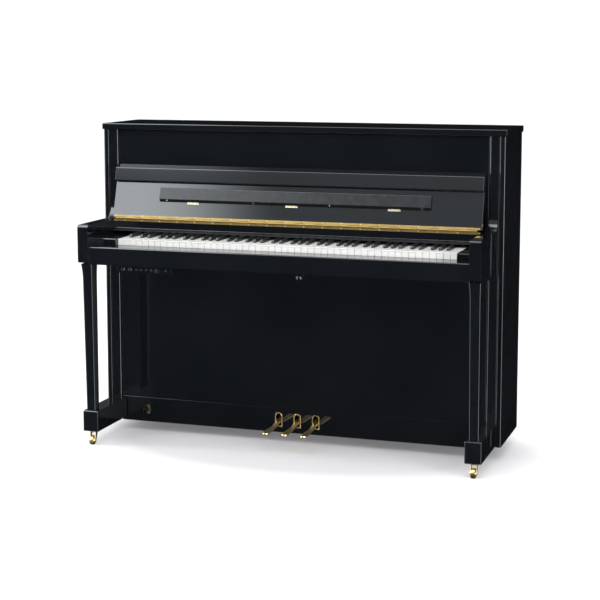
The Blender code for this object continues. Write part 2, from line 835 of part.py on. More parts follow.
def make_casters(mats):
    """The brass casters under the toes: a fork that swivels under the toe, and a wheel in it."""
    for side in (-1, 1):
        name = side_name(side)
        centre = (side * CASTER_X, CASTER_Y + CASTER_TRAIL, CASTER_R)
        top = TOE_LOW_Z - GAP
        plate = circle((side * CASTER_X, CASTER_Y), 0.017, 16)
        pivot = (side * CASTER_X, CASTER_Y, TOE_LOW_Z)
        fork = prism_piece("caster_fork_" + name, plate, "Z", top - 0.006, top, mats["brass"], pivot)

        def cheeks(bm, centre=centre, top=top):
            add_cheeks(bm, centre, CASTER_HALF, top - 0.003, CASTER_Y, 0.010)

        def axle(bm, centre=centre):
            add_axle(bm, centre, CASTER_HALF)

        combine(fork, "caster_cheeks_" + name, cheeks, "UNION")
        combine(fork, "caster_axle_" + name, axle, "UNION")
        make_wheel("caster_wheel_" + name, centre, CASTER_R, CASTER_HALF, mats["brass"])


def make_rollers(mats):
    """The big rollers under the back, in brackets that don't swivel."""
    for side in (-1, 1):
        name = side_name(side)
        centre = (side * ROLLER_X, ROLLER_Y, ROLLER_R)
        top = BEAM_LOW_Z - GAP
        low = (centre[0] - 0.024, ROLLER_Y - 0.026, top - 0.003)
        high = (centre[0] + 0.024, ROLLER_Y + 0.026, top)
        bracket = box_piece("roller_bracket_" + name, low, high, mats["black_steel"])

        def cheeks(bm, centre=centre, top=top):
            add_cheeks(bm, centre, ROLLER_HALF, top - 0.002, ROLLER_Y, 0.022)

        def axle(bm, centre=centre):
            add_axle(bm, centre, ROLLER_HALF)

        combine(bracket, "roller_cheeks_" + name, cheeks, "UNION")
        combine(bracket, "roller_axle_" + name, axle, "UNION")
        make_wheel("roller_" + name, centre, ROLLER_R, ROLLER_HALF, mats["black_steel"])


# ---------------------------------------------------------------- back, soundboard, plate and strings
def make_back(mats):
    """The back frame (a bottom beam, posts and a top beam) and the pin block in front of its top."""
    half = SIDE_IN_X - GAP
    low = (-half, 0.216, BEAM_LOW_Z)
    frame = box_piece("back_frame", low, (half, SIDE_BACK_Y, 0.135), mats["beech"])

    def posts(bm):
        reach = half - POST_HALF
        for i in range(POST_COUNT):
            x = -reach + 2 * reach * i / (POST_COUNT - 1)
            x_low = max(x - POST_HALF, -half + 0.0002)
            x_high = min(x + POST_HALF, half - 0.0002)
            add_box(bm, (x_low, POST_FRONT_Y, 0.100), (x_high, SIDE_BACK_Y - 0.0005, 1.060))

    def top_beam(bm):
        add_box(bm, (-half, 0.225, 1.030), (half, SIDE_BACK_Y, 1.108))

    combine(frame, "back_posts", posts, "UNION")
    combine(frame, "back_top_beam", top_beam, "UNION")
    box_piece("pin_block", (-0.690, PLATE_BACK_Y + GAP, 0.995), (0.690, 0.2247, 1.085), mats["beech"])


def make_soundboard(mats):
    """The soundboard with its ribs behind and its bridges in front."""
    low = (-0.700, BOARD_FRONT_Y, 0.140)
    board = box_piece("soundboard", low, (0.700, BOARD_BACK_Y, 0.990), mats["spruce"])

    def ribs(bm):
        for i in range(9):
            x = -0.620 + i * 0.115
            outline = [(x, 0.160), (x + 0.022, 0.160), (x + 0.342, 0.960), (x + 0.320, 0.960)]
            add_prism(bm, outline, "Y", BOARD_BACK_Y - 0.001, POST_FRONT_Y - 0.0005)

    def bridges(bm):
        front = STRING_Y + 0.004
        back = BOARD_FRONT_Y + 0.001
        centre = (0.620, 1.100)
        treble = arc(centre, 0.860, 250, 212, 8) + arc(centre, 0.830, 212, 250, 8)
        add_prism(bm, treble, "Y", front, back)
        bass = [(0.200, 0.230), (0.560, 0.180), (0.566, 0.206), (0.206, 0.256)]
        add_prism(bm, bass, "Y", front, back)

    combine(board, "soundboard_ribs", ribs, "UNION")
    combine(board, "soundboard_bridges", bridges, "UNION")


def make_plate(mats):
    """The cast-iron plate that carries the strings' pull, open where the bridges come through."""
    low = (-0.690, PLATE_FRONT_Y, 0.085)
    plate = box_piece("iron_plate", low, (0.690, PLATE_BACK_Y, 1.080), mats["plate_gold"])

    def windows(bm):
        for left, right in ((-0.650, -0.270), (-0.230, 0.640)):
            corners = [(left, 0.130, 0.03), (right, 0.130, 0.03), (right, 0.900, 0.03), (left, 0.900, 0.03)]
            add_prism(bm, rounded(corners), "Y", PLATE_FRONT_Y - 0.01, PLATE_BACK_Y + 0.01)

    combine(plate, "plate_windows", windows, "DIFFERENCE")


def add_string(bm, top, low, y, radius):
    """One string between two points (X, Z), as a square wire."""
    outline = [
        (low[0] - radius, low[1]),
        (low[0] + radius, low[1]),
        (top[0] + radius, top[1]),
        (top[0] - radius, top[1]),
    ]
    add_prism(bm, outline, "Y", y - radius, y + radius)


def make_strings(mats):
    """Two sets of strings, each held at the top by the bar that presses it down on the plate."""
    low_z = 0.105
    bar_low = 0.925
    bar_top = 0.935
    anchor = 0.930
    treble_count = 34

    def bass_wires(bm):
        for i in range(16):
            x = i * 0.0245
            add_string(bm, (x - 0.630, anchor), (x + 0.180, low_z), BASS_STRING_Y, 0.0011)

    def treble_wires(bm):
        for i in range(treble_count):
            reach = low_z + 0.62 * (i / (treble_count - 1)) ** 1.5
            top = (i * 0.0255 - 0.215, anchor)
            add_string(bm, top, (i * 0.0360 - 0.560, reach), STRING_Y, 0.0008)

    sets = (
        ("strings_bass", -0.640, -0.250, BASS_STRING_Y, "string_copper", bass_wires),
        ("strings_treble", -0.225, 0.640, STRING_Y, "string_steel", treble_wires),
    )
    for name, left, right, y, finish, wires in sets:
        low = (left, y - 0.0019, bar_low)
        bar = box_piece(name, low, (right, y + 0.0019, bar_top), mats[finish])
        combine(bar, name + "_wires", wires, "UNION")


# ---------------------------------------------------------------- action
def action_x(note):
    """Where a note's hammer and damper stand."""
    return KEYBOARD_SHIFT_X + (note - (NOTES - 1) / 2) * ACTION_PITCH


def make_action_frame(mats):
    """Two end brackets with the main rail, the let-off rail and the hammer rest rail between them."""
    left = action_x(0) - 0.040
    right = action_x(NOTES - 1) + 0.034
    outline = [
        (0.012, BED_TOP_Z + GAP),
        (0.095, BED_TOP_Z + GAP),
        (0.095, 0.800),
        (0.104, 0.860),
        (0.104, 0.955),
        (0.090, 0.955),
        (0.060, 0.860),
        (0.050, 0.760),
    ]
    frame = prism_piece("action_frame", outline, "X", left, left + 0.008, mats["black_steel"])

    def other_bracket(bm):
        add_prism(bm, outline, "X", right - 0.008, right)

    def rails(bm):
        inset = 0.001
        for low, high in (
            ((0.085, 0.805), (0.0935, 0.835)),
            ((0.075, 0.870), (0.090, 0.885)),
            ((0.096, 0.905), (0.107, 0.920)),
        ):
            add_box(bm, (left + inset, *low), (right - inset, *high))

    combine(frame, "action_rails", rails, "UNION")
    combine(frame, "action_bracket", other_bracket, "UNION")


def make_hammers(mats):
    """The hammers on their rail. Each has a shank and a felt head that points at the strings."""
    origin = (0.0, *HAMMER_PIVOT)
    low = (action_x(0) - 0.010, 0.112, 0.845)
    rail = box_piece("hammers", low, (action_x(NOTES - 1) + 0.010, 0.122, 0.859), mats["felt"], origin)
    outline = [(0.115, 0.856), (0.1185, 0.856), (0.1185, 0.930), (0.146, 0.936), (0.110, 0.944), (0.110, 0.930)]

    def heads(bm):
        for note in range(NOTES):
            x = action_x(note)
            add_prism(bm, outline, "X", x - 0.0045, x + 0.0045)

    combine(rail, "hammer_heads", heads, "UNION")


def make_dampers(mats):
    """The dampers on their rail, as one comb that leans on the strings."""
    low = 0.785
    rail_top = 0.797
    top = 0.875
    half = 0.0045
    outline = [(action_x(0) - 0.010, low), (action_x(DAMPERS - 1) + 0.010, low)]
    outline.append((action_x(DAMPERS - 1) + 0.010, rail_top))
    for note in reversed(range(DAMPERS)):
        x = action_x(note)
        outline += [(x + half, rail_top), (x + half, top), (x - half, top), (x - half, rail_top)]
    outline.append((action_x(0) - 0.010, rail_top))
    origin = (0.0, *DAMPER_PIVOT)
    prism_piece("dampers", outline, "Y", 0.1490, 0.1562, mats["felt"], origin)


def make_stop_rail(mats):
    """The silent system's rail: its lip turns in front of the hammer shanks to stop them."""
    outline = [
        (0.134, 0.894),
        (0.146, 0.894),
        (0.146, 0.906),
        (0.142, 0.906),
        (0.142, 0.914),
        (0.138, 0.914),
        (0.138, 0.906),
        (0.134, 0.906),
    ]
    left = action_x(0) - 0.012
    right = action_x(NOTES - 1) + 0.012
    origin = (0.0, *STOP_PIVOT)
    prism_piece("hammer_stop_rail", outline, "X", left, right, mats["black_steel"], origin)


# ---------------------------------------------------------------- silent system
def make_control_box(mats):
    """The box under the keybed, with two headphone sockets, smaller sockets and the volume knob."""
    left, right = BOX_X
    low = (left, BOX_FRONT_Y, BOX_LOW_Z)
    box = box_piece("control_box", low, (right, BOX_BACK_Y, BED_LOW_Z - GAP), mats["box_plastic"])

    def sockets(bm):
        for x in JACK_XS:
            add_prism(bm, circle((x, SOCKET_Z), JACK_R, 12, 0.5), "Y", BOX_FRONT_Y - 0.01, BOX_FRONT_Y + 0.030)
        for x in SMALL_SOCKET_XS:
            add_prism(bm, circle((x, SOCKET_Z), 0.0019, 8, 0.5), "Y", BOX_FRONT_Y - 0.01, BOX_FRONT_Y + 0.012)

    combine(box, "socket_cutter", sockets, "DIFFERENCE")
    knob = circle((KNOB_X, SOCKET_Z), 0.0075, 16)
    origin = (KNOB_X, BOX_FRONT_Y, SOCKET_Z)
    ends = (BOX_FRONT_Y - 0.014, BOX_FRONT_Y - GAP)
    soften(prism_piece("volume_knob", knob, "Y", ends[0], ends[1], mats["box_plastic"], origin), 0.001, 1)


def make_mute_lever(mats):
    """The pull knob under the keybed that turns the hammer stop rail, on its rod."""
    rod = circle((MUTE_X, MUTE_Z), 0.004, 8)
    lever = prism_piece("mute_lever", rod, "Y", MUTE_Y, -0.100, mats["polished_black"])

    def knob(bm):
        middle = circle((MUTE_X, MUTE_Z), 0.0125, 16)
        add_prism(bm, middle, "Y", MUTE_Y - 0.012, MUTE_Y + 0.010)

    combine(lever, "mute_knob", knob, "UNION")


def build():
    """Make the whole piano."""
    clear_scene()
    mats = make_materials()
    for side in (-1, 1):
        make_side(side, mats)
        make_arm(side, mats)
        make_leg(side, mats)
        make_toe(side, mats)
        make_block(side, mats)
    make_lid(mats)
    make_panels(mats)
    make_bottom(mats)
    make_keybed(mats)
    make_slip(mats)
    make_nameboard(mats)
    make_moving_keys(mats)
    make_key_sets(mats)
    make_fallboard(mats)
    make_hinge(mats)
    make_music_shelf(mats)
    make_pedals(mats)
    make_casters(mats)
    make_rollers(mats)
    make_back(mats)
    make_soundboard(mats)
    make_plate(mats)
    make_strings(mats)
    make_action_frame(mats)
    make_hammers(mats)
    make_dampers(mats)
    make_stop_rail(mats)
    make_control_box(mats)
    make_mute_lever(mats)


build()
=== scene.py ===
"""The looks of an upright piano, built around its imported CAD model.

Sizes and places come from the CAD nodes' boxes. Every piece rides on a CAD body. Metres throughout.
"""

import math

import bmesh
import bpy
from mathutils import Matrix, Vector


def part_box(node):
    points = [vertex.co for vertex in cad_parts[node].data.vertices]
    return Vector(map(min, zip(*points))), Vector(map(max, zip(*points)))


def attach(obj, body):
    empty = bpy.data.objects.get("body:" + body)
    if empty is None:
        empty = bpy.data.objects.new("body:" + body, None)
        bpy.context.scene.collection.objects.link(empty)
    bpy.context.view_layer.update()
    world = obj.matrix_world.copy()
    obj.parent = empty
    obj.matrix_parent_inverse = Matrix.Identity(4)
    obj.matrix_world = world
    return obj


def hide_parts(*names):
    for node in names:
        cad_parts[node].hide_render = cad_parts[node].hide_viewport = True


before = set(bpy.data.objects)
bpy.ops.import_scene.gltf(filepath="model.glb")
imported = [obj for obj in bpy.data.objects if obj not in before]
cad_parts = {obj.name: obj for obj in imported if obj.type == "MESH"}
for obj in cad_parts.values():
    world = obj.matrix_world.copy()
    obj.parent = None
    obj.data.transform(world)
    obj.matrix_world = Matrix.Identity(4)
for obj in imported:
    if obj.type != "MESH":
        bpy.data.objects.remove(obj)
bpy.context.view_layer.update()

# ---- sizes shared by several parts
WHITES = 52
NOTES = 88
FIRST_SINGLE = 39  # the lowest note whose key is a piece of its own
SINGLES = 12
WHITE_PITCH = 0.0235
KEY_SPACE = 0.001
KEYBOARD_SHIFT = 0.012
KEYBOARD_LEFT = KEYBOARD_SHIFT - WHITES * WHITE_PITCH / 2
HINGE = Vector((0.0, -0.0915, 0.803))
LEAN = math.radians(16.5)
ACTION_PITCH = 0.0135
DAMPERS = 66
SMOOTH_ANGLE = math.radians(38)


# ---- material tools
def add_node(tree, kind, inputs, output, **settings):
    """Add a shader node with its settings, give each input a value or a link, and return an output."""
    node = tree.nodes.new("ShaderNode" + kind)
    for name, value in settings.items():
        setattr(node, name, value)
    for socket, value in inputs.items():
        if isinstance(value, bpy.types.NodeSocket):
            tree.links.new(value, node.inputs[socket])
        else:
            node.inputs[socket].default_value = value
    return node.outputs[output]


class Graph:
    """A Principled material with short calls for the nodes that the finishes share."""

    def __init__(self, name, colour, roughness, metallic=0.0, coat=0.0, coat_roughness=0.03):
        self.mat = bpy.data.materials.new(name)
        self.mat.use_nodes = True
        self.tree = self.mat.node_tree
        self.shader = self.tree.nodes["Principled BSDF"]
        self.set("Base Color", (*colour, 1.0))
        self.set("Roughness", roughness)
        self.set("Metallic", metallic)
        self.set("Coat Weight", coat)
        self.set("Coat Roughness", coat_roughness)
        self.place = self.tree.nodes.new("ShaderNodeTexCoord").outputs["Object"]

    def set(self, socket, value):
        self.shader.inputs[socket].default_value = value

    def link(self, out, socket):
        self.tree.links.new(out, self.shader.inputs[socket])

    def stretch(self, scale):
        """Object coordinates stretched along the axes."""
        return add_node(self.tree, "Mapping", {"Vector": self.place, "Scale": scale}, "Vector")

    def noise(self, scale, detail=2.0, stretch=(1, 1, 1), distortion=0.0):
        inputs = {"Vector": self.stretch(stretch), "Scale": scale, "Detail": detail}
        inputs["Distortion"] = distortion
        return add_node(self.tree, "TexNoise", inputs, "Fac")

    def wave(self, scale, direction):
        inputs = {"Vector": self.stretch((1, 1, 1)), "Scale": scale, "Distortion": 0.0}
        return add_node(self.tree, "TexWave", inputs, "Fac", bands_direction=direction)

    def cells(self, scale):
        inputs = {"Vector": self.stretch((1, 1, 1)), "Scale": scale}
        return add_node(self.tree, "TexVoronoi", inputs, "Distance")

    def colour(self, fac, low, high, start=0.35, end=0.65):
        """Let the base colour run from low to high."""
        node = self.tree.nodes.new("ShaderNodeValToRGB")
        for element, spot, shade in zip(node.color_ramp.elements, (start, end), (low, high)):
            element.position = spot
            element.color = (*shade, 1.0)
        self.tree.links.new(fac, node.inputs["Fac"])
        self.link(node.outputs["Color"], "Base Color")

    def rough(self, fac, low, high):
        """Let the roughness run from low to high."""
        inputs = {"Value": fac, "To Min": low, "To Max": high}
        self.link(add_node(self.tree, "MapRange", inputs, "Result"), "Roughness")

    def bump(self, fac, distance, strength=1.0):
        inputs = {"Strength": strength, "Distance": distance, "Height": fac}
        self.link(add_node(self.tree, "Bump", inputs, "Normal"), "Normal")


# ---- finishes
def piano_black():
    """Black polyester: deep gloss, hair-fine polishing marks and a faint waviness."""
    g = Graph("piano_black", (0.0035, 0.0045, 0.006), 0.06, coat=0.35, coat_roughness=0.02)
    g.colour(g.noise(3.0), (0.003, 0.004, 0.0055), (0.0045, 0.0055, 0.0075))
    g.rough(g.noise(900.0, 3.0, (1, 0.06, 0.06)), 0.025, 0.085)
    g.bump(g.noise(9.0, 1.0), 0.00004, 0.5)
    return g.mat


def brass(name, colour, roughness):
    """Lacquered brass with faint clouding and brushing."""
    g = Graph(name, colour, roughness, metallic=1.0)
    dark = tuple(c * 0.82 for c in colour)
    g.colour(g.noise(60.0, 4.0), dark, colour)
    g.rough(g.noise(700.0, 2.0, (0.08, 1, 1)), roughness * 0.7, roughness * 1.4)
    g.bump(g.noise(1400.0, 2.0, (0.05, 1, 1)), 0.00002, 0.4)
    return g.mat


def ivory_white():
    """The white key tops: smooth acrylic with a slight warm cloud."""
    g = Graph("key_white", (0.86, 0.86, 0.84), 0.16, coat=0.2)
    g.colour(g.noise(18.0, 3.0), (0.84, 0.84, 0.815), (0.885, 0.888, 0.872))
    g.rough(g.noise(300.0, 3.0), 0.12, 0.26)
    g.bump(g.noise(260.0, 2.0), 0.00002, 0.3)
    return g.mat


def ebony():
    """The black key tops: matt phenolic with a fine lengthwise grain."""
    g = Graph("key_black", (0.010, 0.010, 0.011), 0.3)
    g.colour(g.noise(420.0, 4.0, (1, 0.06, 1)), (0.007, 0.007, 0.008), (0.018, 0.018, 0.019))
    g.rough(g.noise(900.0, 2.0, (1, 0.08, 1)), 0.22, 0.42)
    g.bump(g.noise(1100.0, 2.0, (1, 0.08, 1)), 0.00003, 0.5)
    return g.mat


def wood(name, dark, light, along, roughness=0.42):
    """Plain wood with growth lines and pores. along is X, Y or Z."""
    g = Graph(name, light, roughness, coat=0.15, coat_roughness=0.25)
    stretch = {"X": (0.05, 1, 1), "Y": (1, 0.05, 1), "Z": (1, 1, 0.05)}[along]
    bands = g.noise(70.0, 5.0, stretch, 0.6)
    g.colour(bands, dark, light, 0.38, 0.62)
    pores = g.noise(900.0, 2.0, stretch)
    g.rough(pores, roughness * 0.8, roughness * 1.3)
    g.bump(pores, 0.00012, 0.5)
    return g.mat


def bronze_paint():
    """The plate's gold-bronze lacquer over a sand-cast skin."""
    g = Graph("plate_gold", (0.62, 0.45, 0.20), 0.34, metallic=0.75, coat=0.3)
    g.colour(g.noise(1200.0, 2.0), (0.50, 0.35, 0.14), (0.72, 0.54, 0.26))
    g.rough(g.noise(500.0, 3.0), 0.26, 0.46)
    g.bump(g.noise(240.0, 4.0), 0.0003, 0.5)
    return g.mat


def wire(name, colour, pitch):
    """Plain or wound wire, with its winding as fine rings."""
    g = Graph(name, colour, 0.25, metallic=1.0)
    rings = g.wave(pitch, "Z")
    g.colour(rings, tuple(c * 0.6 for c in colour), colour)
    g.rough(g.noise(300.0), 0.18, 0.36)
    g.bump(rings, 0.0001, 0.6)
    return g.mat


def felt(name, dark, light):
    """Pressed wool with a matted, fuzzy face."""
    g = Graph(name, light, 0.95)
    g.set("Sheen Weight", 0.5)
    g.set("Sheen Roughness", 0.5)
    fibres = g.noise(1600.0, 6.0, (1, 1, 0.5), 1.2)
    g.colour(fibres, dark, light)
    g.rough(g.noise(200.0), 0.86, 1.0)
    g.bump(fibres, 0.0004, 0.7)
    return g.mat


def metal(name, colour, low, high):
    """Plated or blued metal with brushing."""
    g = Graph(name, colour, low, metallic=1.0)
    g.colour(g.noise(140.0, 3.0), tuple(c * 0.85 for c in colour), colour)
    g.rough(g.noise(900.0, 2.0, (1, 1, 0.1)), low, high)
    g.bump(g.noise(1500.0, 2.0, (1, 1, 0.1)), 0.00002, 0.4)
    return g.mat


def grained(name, colour, roughness, scale, depth):
    """Moulded plastic, rubber or powder paint: one colour with a fine pebble."""
    g = Graph(name, colour, roughness)
    pebble = g.cells(scale)
    lighter = tuple(c * 1.5 + 0.002 for c in colour)
    g.colour(g.noise(40.0, 3.0), colour, lighter)
    g.rough(pebble, roughness * 0.85, roughness * 1.2)
    g.bump(pebble, depth, 0.5)
    return g.mat


def painted_shade_black():
    """Painted shade: a near-black matt finish that hardly mirrors, standing for the shadow of the gap under
    the music shelf.
    """
    g = Graph("painted_shade_black", (0.003, 0.003, 0.0035), 0.6)
    g.set("Specular IOR Level", 0.12)
    g.colour(g.noise(40.0), (0.0025, 0.0025, 0.003), (0.004, 0.004, 0.0045))
    return g.mat


FINISH = {
    "black": piano_black(),
    "satin": grained("satin_black", (0.010, 0.011, 0.0125), 0.19, 1100.0, 0.00002),
    # painted shade: the near-black matt finish of the shelf's grip edge stands for the gap's shadow
    "edge": painted_shade_black(),
    "brass": brass("brass_polished", (0.87, 0.67, 0.34), 0.30),
    "pale_brass": brass("brass_pale", (0.86, 0.76, 0.52), 0.28),
    "hinge": brass("brass_hinge", (0.32, 0.22, 0.080), 0.46),
    "white": ivory_white(),
    "ebony": ebony(),
    "spruce": wood("spruce", (0.60, 0.41, 0.21), (0.80, 0.62, 0.38), "Z"),
    "beech_x": wood("beech_across", (0.50, 0.33, 0.19), (0.66, 0.47, 0.29), "X"),
    "beech_z": wood("beech_upright", (0.50, 0.33, 0.19), (0.66, 0.47, 0.29), "Z"),
    "sticks": wood("key_sticks", (0.68, 0.50, 0.30), (0.84, 0.68, 0.46), "Y"),
    "stained": wood("stained_sticks", (0.010, 0.009, 0.008), (0.022, 0.019, 0.017), "Y"),
    "maple": wood("maple", (0.70, 0.55, 0.37), (0.86, 0.73, 0.54), "Z"),
    "plate": bronze_paint(),
    "steel": wire("string_steel", (0.66, 0.66, 0.65), 40.0),
    "copper": wire("string_copper", (0.72, 0.38, 0.22), 380.0),
    "felt": felt("felt_white", (0.66, 0.64, 0.58), (0.88, 0.86, 0.80)),
    "dark_felt": felt("felt_dark", (0.006, 0.006, 0.008), (0.016, 0.016, 0.018)),
    "green_felt": felt("felt_green", (0.02, 0.09, 0.05), (0.05, 0.17, 0.10)),
    "nickel": metal("nickel", (0.74, 0.73, 0.70), 0.12, 0.28),
    "blued": metal("blued_steel", (0.16, 0.17, 0.20), 0.22, 0.40),
    "powder": grained("black_steel", (0.018, 0.018, 0.019), 0.42, 900.0, 0.00012),
    "plastic": grained("box_plastic", (0.005, 0.005, 0.006), 0.30, 1400.0, 0.00005),
    "rubber": grained("rubber", (0.02, 0.02, 0.02), 0.72, 700.0, 0.0001),
}


# ---- mesh tools
def arc(centre, radius, start, end, steps=8):
    """Points on an arc between two angles in degrees."""
    points = []
    for i in range(steps + 1):
        angle = math.radians(start + (end - start) * i / steps)
        points.append((centre[0] + radius * math.cos(angle), centre[1] + radius * math.sin(angle)))
    return points


def rounded(corners, steps=6):
    """An outline whose corners (a, b, radius) are rounded where the radius isn't 0."""
    points = []
    count = len(corners)
    for i, (a, b, radius) in enumerate(corners):
        here = Vector((a, b))
        if radius == 0:
            points.append((a, b))
            continue
        before = (Vector(corners[i - 1][:2]) - here).normalized()
        after = (Vector(corners[(i + 1) % count][:2]) - here).normalized()
        half = before.angle(after) / 2
        centre = here + (before + after).normalized() * (radius / math.sin(half))
        first = here + before * (radius / math.tan(half)) - centre
        last = here + after * (radius / math.tan(half)) - centre
        for k in range(steps + 1):
            points.append(tuple(centre + first.lerp(last, k / steps).normalized() * radius))
    return points


def place(axis, a, b, along):
    """A 3-D point from a point of an outline and its place along the axis."""
    return {"X": (along, a, b), "Y": (a, along, b), "Z": (a, b, along)}[axis]


def prism(bm, outline, axis, low, high):
    """Add an outline extruded along an axis. Outlines are (Y, Z), (X, Z) or (X, Y)."""
    near = [bm.verts.new(place(axis, a, b, low)) for a, b in outline]
    far = [bm.verts.new(place(axis, a, b, high)) for a, b in outline]
    faces = [bm.faces.new(near), bm.faces.new(far)]
    for i in range(len(outline)):
        k = (i + 1) % len(outline)
        faces.append(bm.faces.new((near[i], near[k], far[k], far[i])))
    bmesh.ops.recalc_face_normals(bm, faces=faces)


def outlined(outline, axis, low, high):
    """A fill that extrudes an outline along an axis."""
    return lambda bm: prism(bm, outline, axis, low, high)


def extruded(corners, low, high, axis="X", to_world=None, steps=6):
    """A fill that extrudes rounded corners along an axis, after to_world has moved each point."""
    outline = rounded(corners, steps)
    if to_world:
        outline = [to_world(a, b) for a, b in outline]
    return outlined(outline, axis, low, high)


def block(bm, low, high):
    """Add a box between two corners."""
    outline = [(low[0], low[1]), (high[0], low[1]), (high[0], high[1]), (low[0], high[1])]
    prism(bm, outline, "Z", low[2], high[2])


def skin(bm, rings, closed=False):
    """Join rings of points into one closed solid, with end caps unless the rings form a loop."""
    rows = [[bm.verts.new(p) for p in ring] for ring in rings]
    faces = []
    count = len(rows[0])
    pairs = list(zip(rows, rows[1:]))
    if closed:
        pairs.append((rows[-1], rows[0]))
    else:
        faces += [bm.faces.new(rows[0]), bm.faces.new(rows[-1])]
    for one, two in pairs:
        for i in range(count):
            k = (i + 1) % count
            faces.append(bm.faces.new((one[i], one[k], two[k], two[i])))
    bmesh.ops.recalc_face_normals(bm, faces=faces)


def circle(radius, sides):
    """Points on a circle round (0, 0)."""
    turns = [2 * math.pi * i / sides for i in range(sides)]
    return [(radius * math.cos(angle), radius * math.sin(angle)) for angle in turns]


def lathe(bm, centre, axis, profile, sides=32, closed=False):
    """Turn a profile of (radius, along) round an axis through a centre."""
    x, y, z = centre
    a, b, base = {"X": (y, z, x), "Y": (x, z, y), "Z": (x, y, z)}[axis]
    rings = []
    for radius, along in profile:
        rings.append([place(axis, a + da, b + db, base + along) for da, db in circle(radius, sides)])
    skin(bm, rings, closed)


def mirrored(profile):
    """A profile of (radius, along) followed by its mirror image."""
    return profile + [(radius, -along) for radius, along in reversed(profile)]


def rod(bm, start, end, radius, sides=10):
    """Add a round rod between two points."""
    start = Vector(start)
    end = Vector(end)
    along = (end - start).normalized()
    side = along.orthogonal().normalized()
    other = along.cross(side)
    ring = circle(radius, sides)
    skin(bm, [[point + side * a + other * b for a, b in ring] for point in (start, end)])


def blocks(pairs):
    """A fill that adds a box between each pair of corners."""

    def fill(bm):
        for low, high in pairs:
            block(bm, low, high)

    return fill


def rods(pairs, radius, sides):
    """A fill that adds a round rod between each pair of points."""

    def fill(bm):
        for start, end in pairs:
            rod(bm, start, end, radius, sides)

    return fill


def turned(centres, axis, profile, sides):
    """A fill that turns the same profile at each centre."""

    def fill(bm):
        for centre in centres:
            lathe(bm, centre, axis, profile, sides)

    return fill


def new_object(name, fill, material):
    """Link an object whose mesh is built by fill(bm)."""
    bm = bmesh.new()
    fill(bm)
    mesh = bpy.data.meshes.new(name)
    bm.to_mesh(mesh)
    bm.free()
    mesh.materials.append(material)
    obj = bpy.data.objects.new(name, mesh)
    bpy.context.scene.collection.objects.link(obj)
    return obj


def soften(obj, width, steps=2):
    """Round the sharp edges of an object."""
    bevel = obj.modifiers.new("soft_edges", "BEVEL")
    bevel.width = width
    bevel.segments = steps
    bevel.limit_method = "ANGLE"
    bevel.angle_limit = SMOOTH_ANGLE
    bevel.harden_normals = True


def piece(name, fill, finish, body="case", soft=0.0, steps=2, replaces=()):
    """Build a piece with fill(bm), round its sharp edges by soft, and let it ride on a body."""
    obj = new_object(name, fill, FINISH[finish])
    obj.data.polygons.foreach_set("use_smooth", [True] * len(obj.data.polygons))
    obj.data.set_sharp_from_angle(angle=SMOOTH_ANGLE)
    if soft:
        soften(obj, soft, steps)
    flats = obj.modifiers.new("flat_faces", "WEIGHTED_NORMAL")
    flats.keep_sharp = True
    flats.weight = 90
    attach(obj, body)
    if replaces:
        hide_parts(*replaces)
    return obj


def dress(node, finish, soft=0.0):
    """Give a CAD node its finish, and round its edges."""
    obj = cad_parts[node]
    obj.data.materials.clear()
    obj.data.materials.append(FINISH[finish])
    obj.data.polygons.foreach_set("use_smooth", [False] * len(obj.data.polygons))
    if soft:
        weld = obj.modifiers.new("weld", "WELD")
        weld.merge_threshold = 0.00001
        soften(obj, soft)


# ---- case
def make_side(name):
    """A side board, and the front stile glued inside it, with the fine groove between them."""
    low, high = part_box("side_panel_" + name)
    outer = max(abs(low.x), abs(high.x))
    inner = min(abs(low.x), abs(high.x))
    joint = outer - 0.0195
    half_groove = 0.0002
    stile_front = low.y + 0.004
    stile_back = 0.022
    board_corners = [
        (outer, low.y, 0.0045), (outer, high.y, 0.002), (joint + half_groove, high.y, 0.001),
        (joint + half_groove, low.y, 0.0030),
    ]
    stile_corners = [
        (inner, stile_front, 0.0055), (inner, stile_back, 0.001),
        (joint - half_groove, stile_back, 0), (joint - half_groove, stile_front, 0.0028),
    ]

    def to_side(a, b):
        return (-a if name == "left" else a, b)

    board = extruded(board_corners, low.z, high.z, "Z", to_side)
    stile = extruded(stile_corners, low.z, high.z, "Z", to_side)
    piece("side_board_" + name, board, "black", soft=0.002, replaces=("side_panel_" + name,))
    piece("front_stile_" + name, stile, "black", soft=0.001)


def make_arm(name):
    """An arm, with the long coves that run up and down into the case."""
    low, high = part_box("arm_" + name)
    top = 0.797
    under = 0.657
    top_cove = high.z - top
    low_cove = under - low.z
    nose = rounded([(low.y, under, 0.009), (low.y, top, 0.010), (high.y, top, 0)])[:-1]
    upper = arc((high.y - top_cove, high.z), top_cove, 270, 360, 18)
    lower = arc((high.y - low_cove, low.z), low_cove, 0, 90, 14)

    arm = outlined(nose + upper + lower, "X", low.x, high.x)
    piece("piano_arm_" + name, arm, "black", soft=0.0032, steps=3, replaces=("arm_" + name,))


def rounded_square(x, y, z, wide, deep, radius=0.004):
    """A ring of points round a square with rounded corners."""
    ring = []
    for i, (sx, sy) in enumerate(((1, 1), (-1, 1), (-1, -1), (1, -1))):
        centre = (x + sx * (wide / 2 - radius), y + sy * (deep / 2 - radius))
        ring += [(a, b, z) for a, b in arc(centre, radius, i * 90, i * 90 + 90, 4)]
    return ring


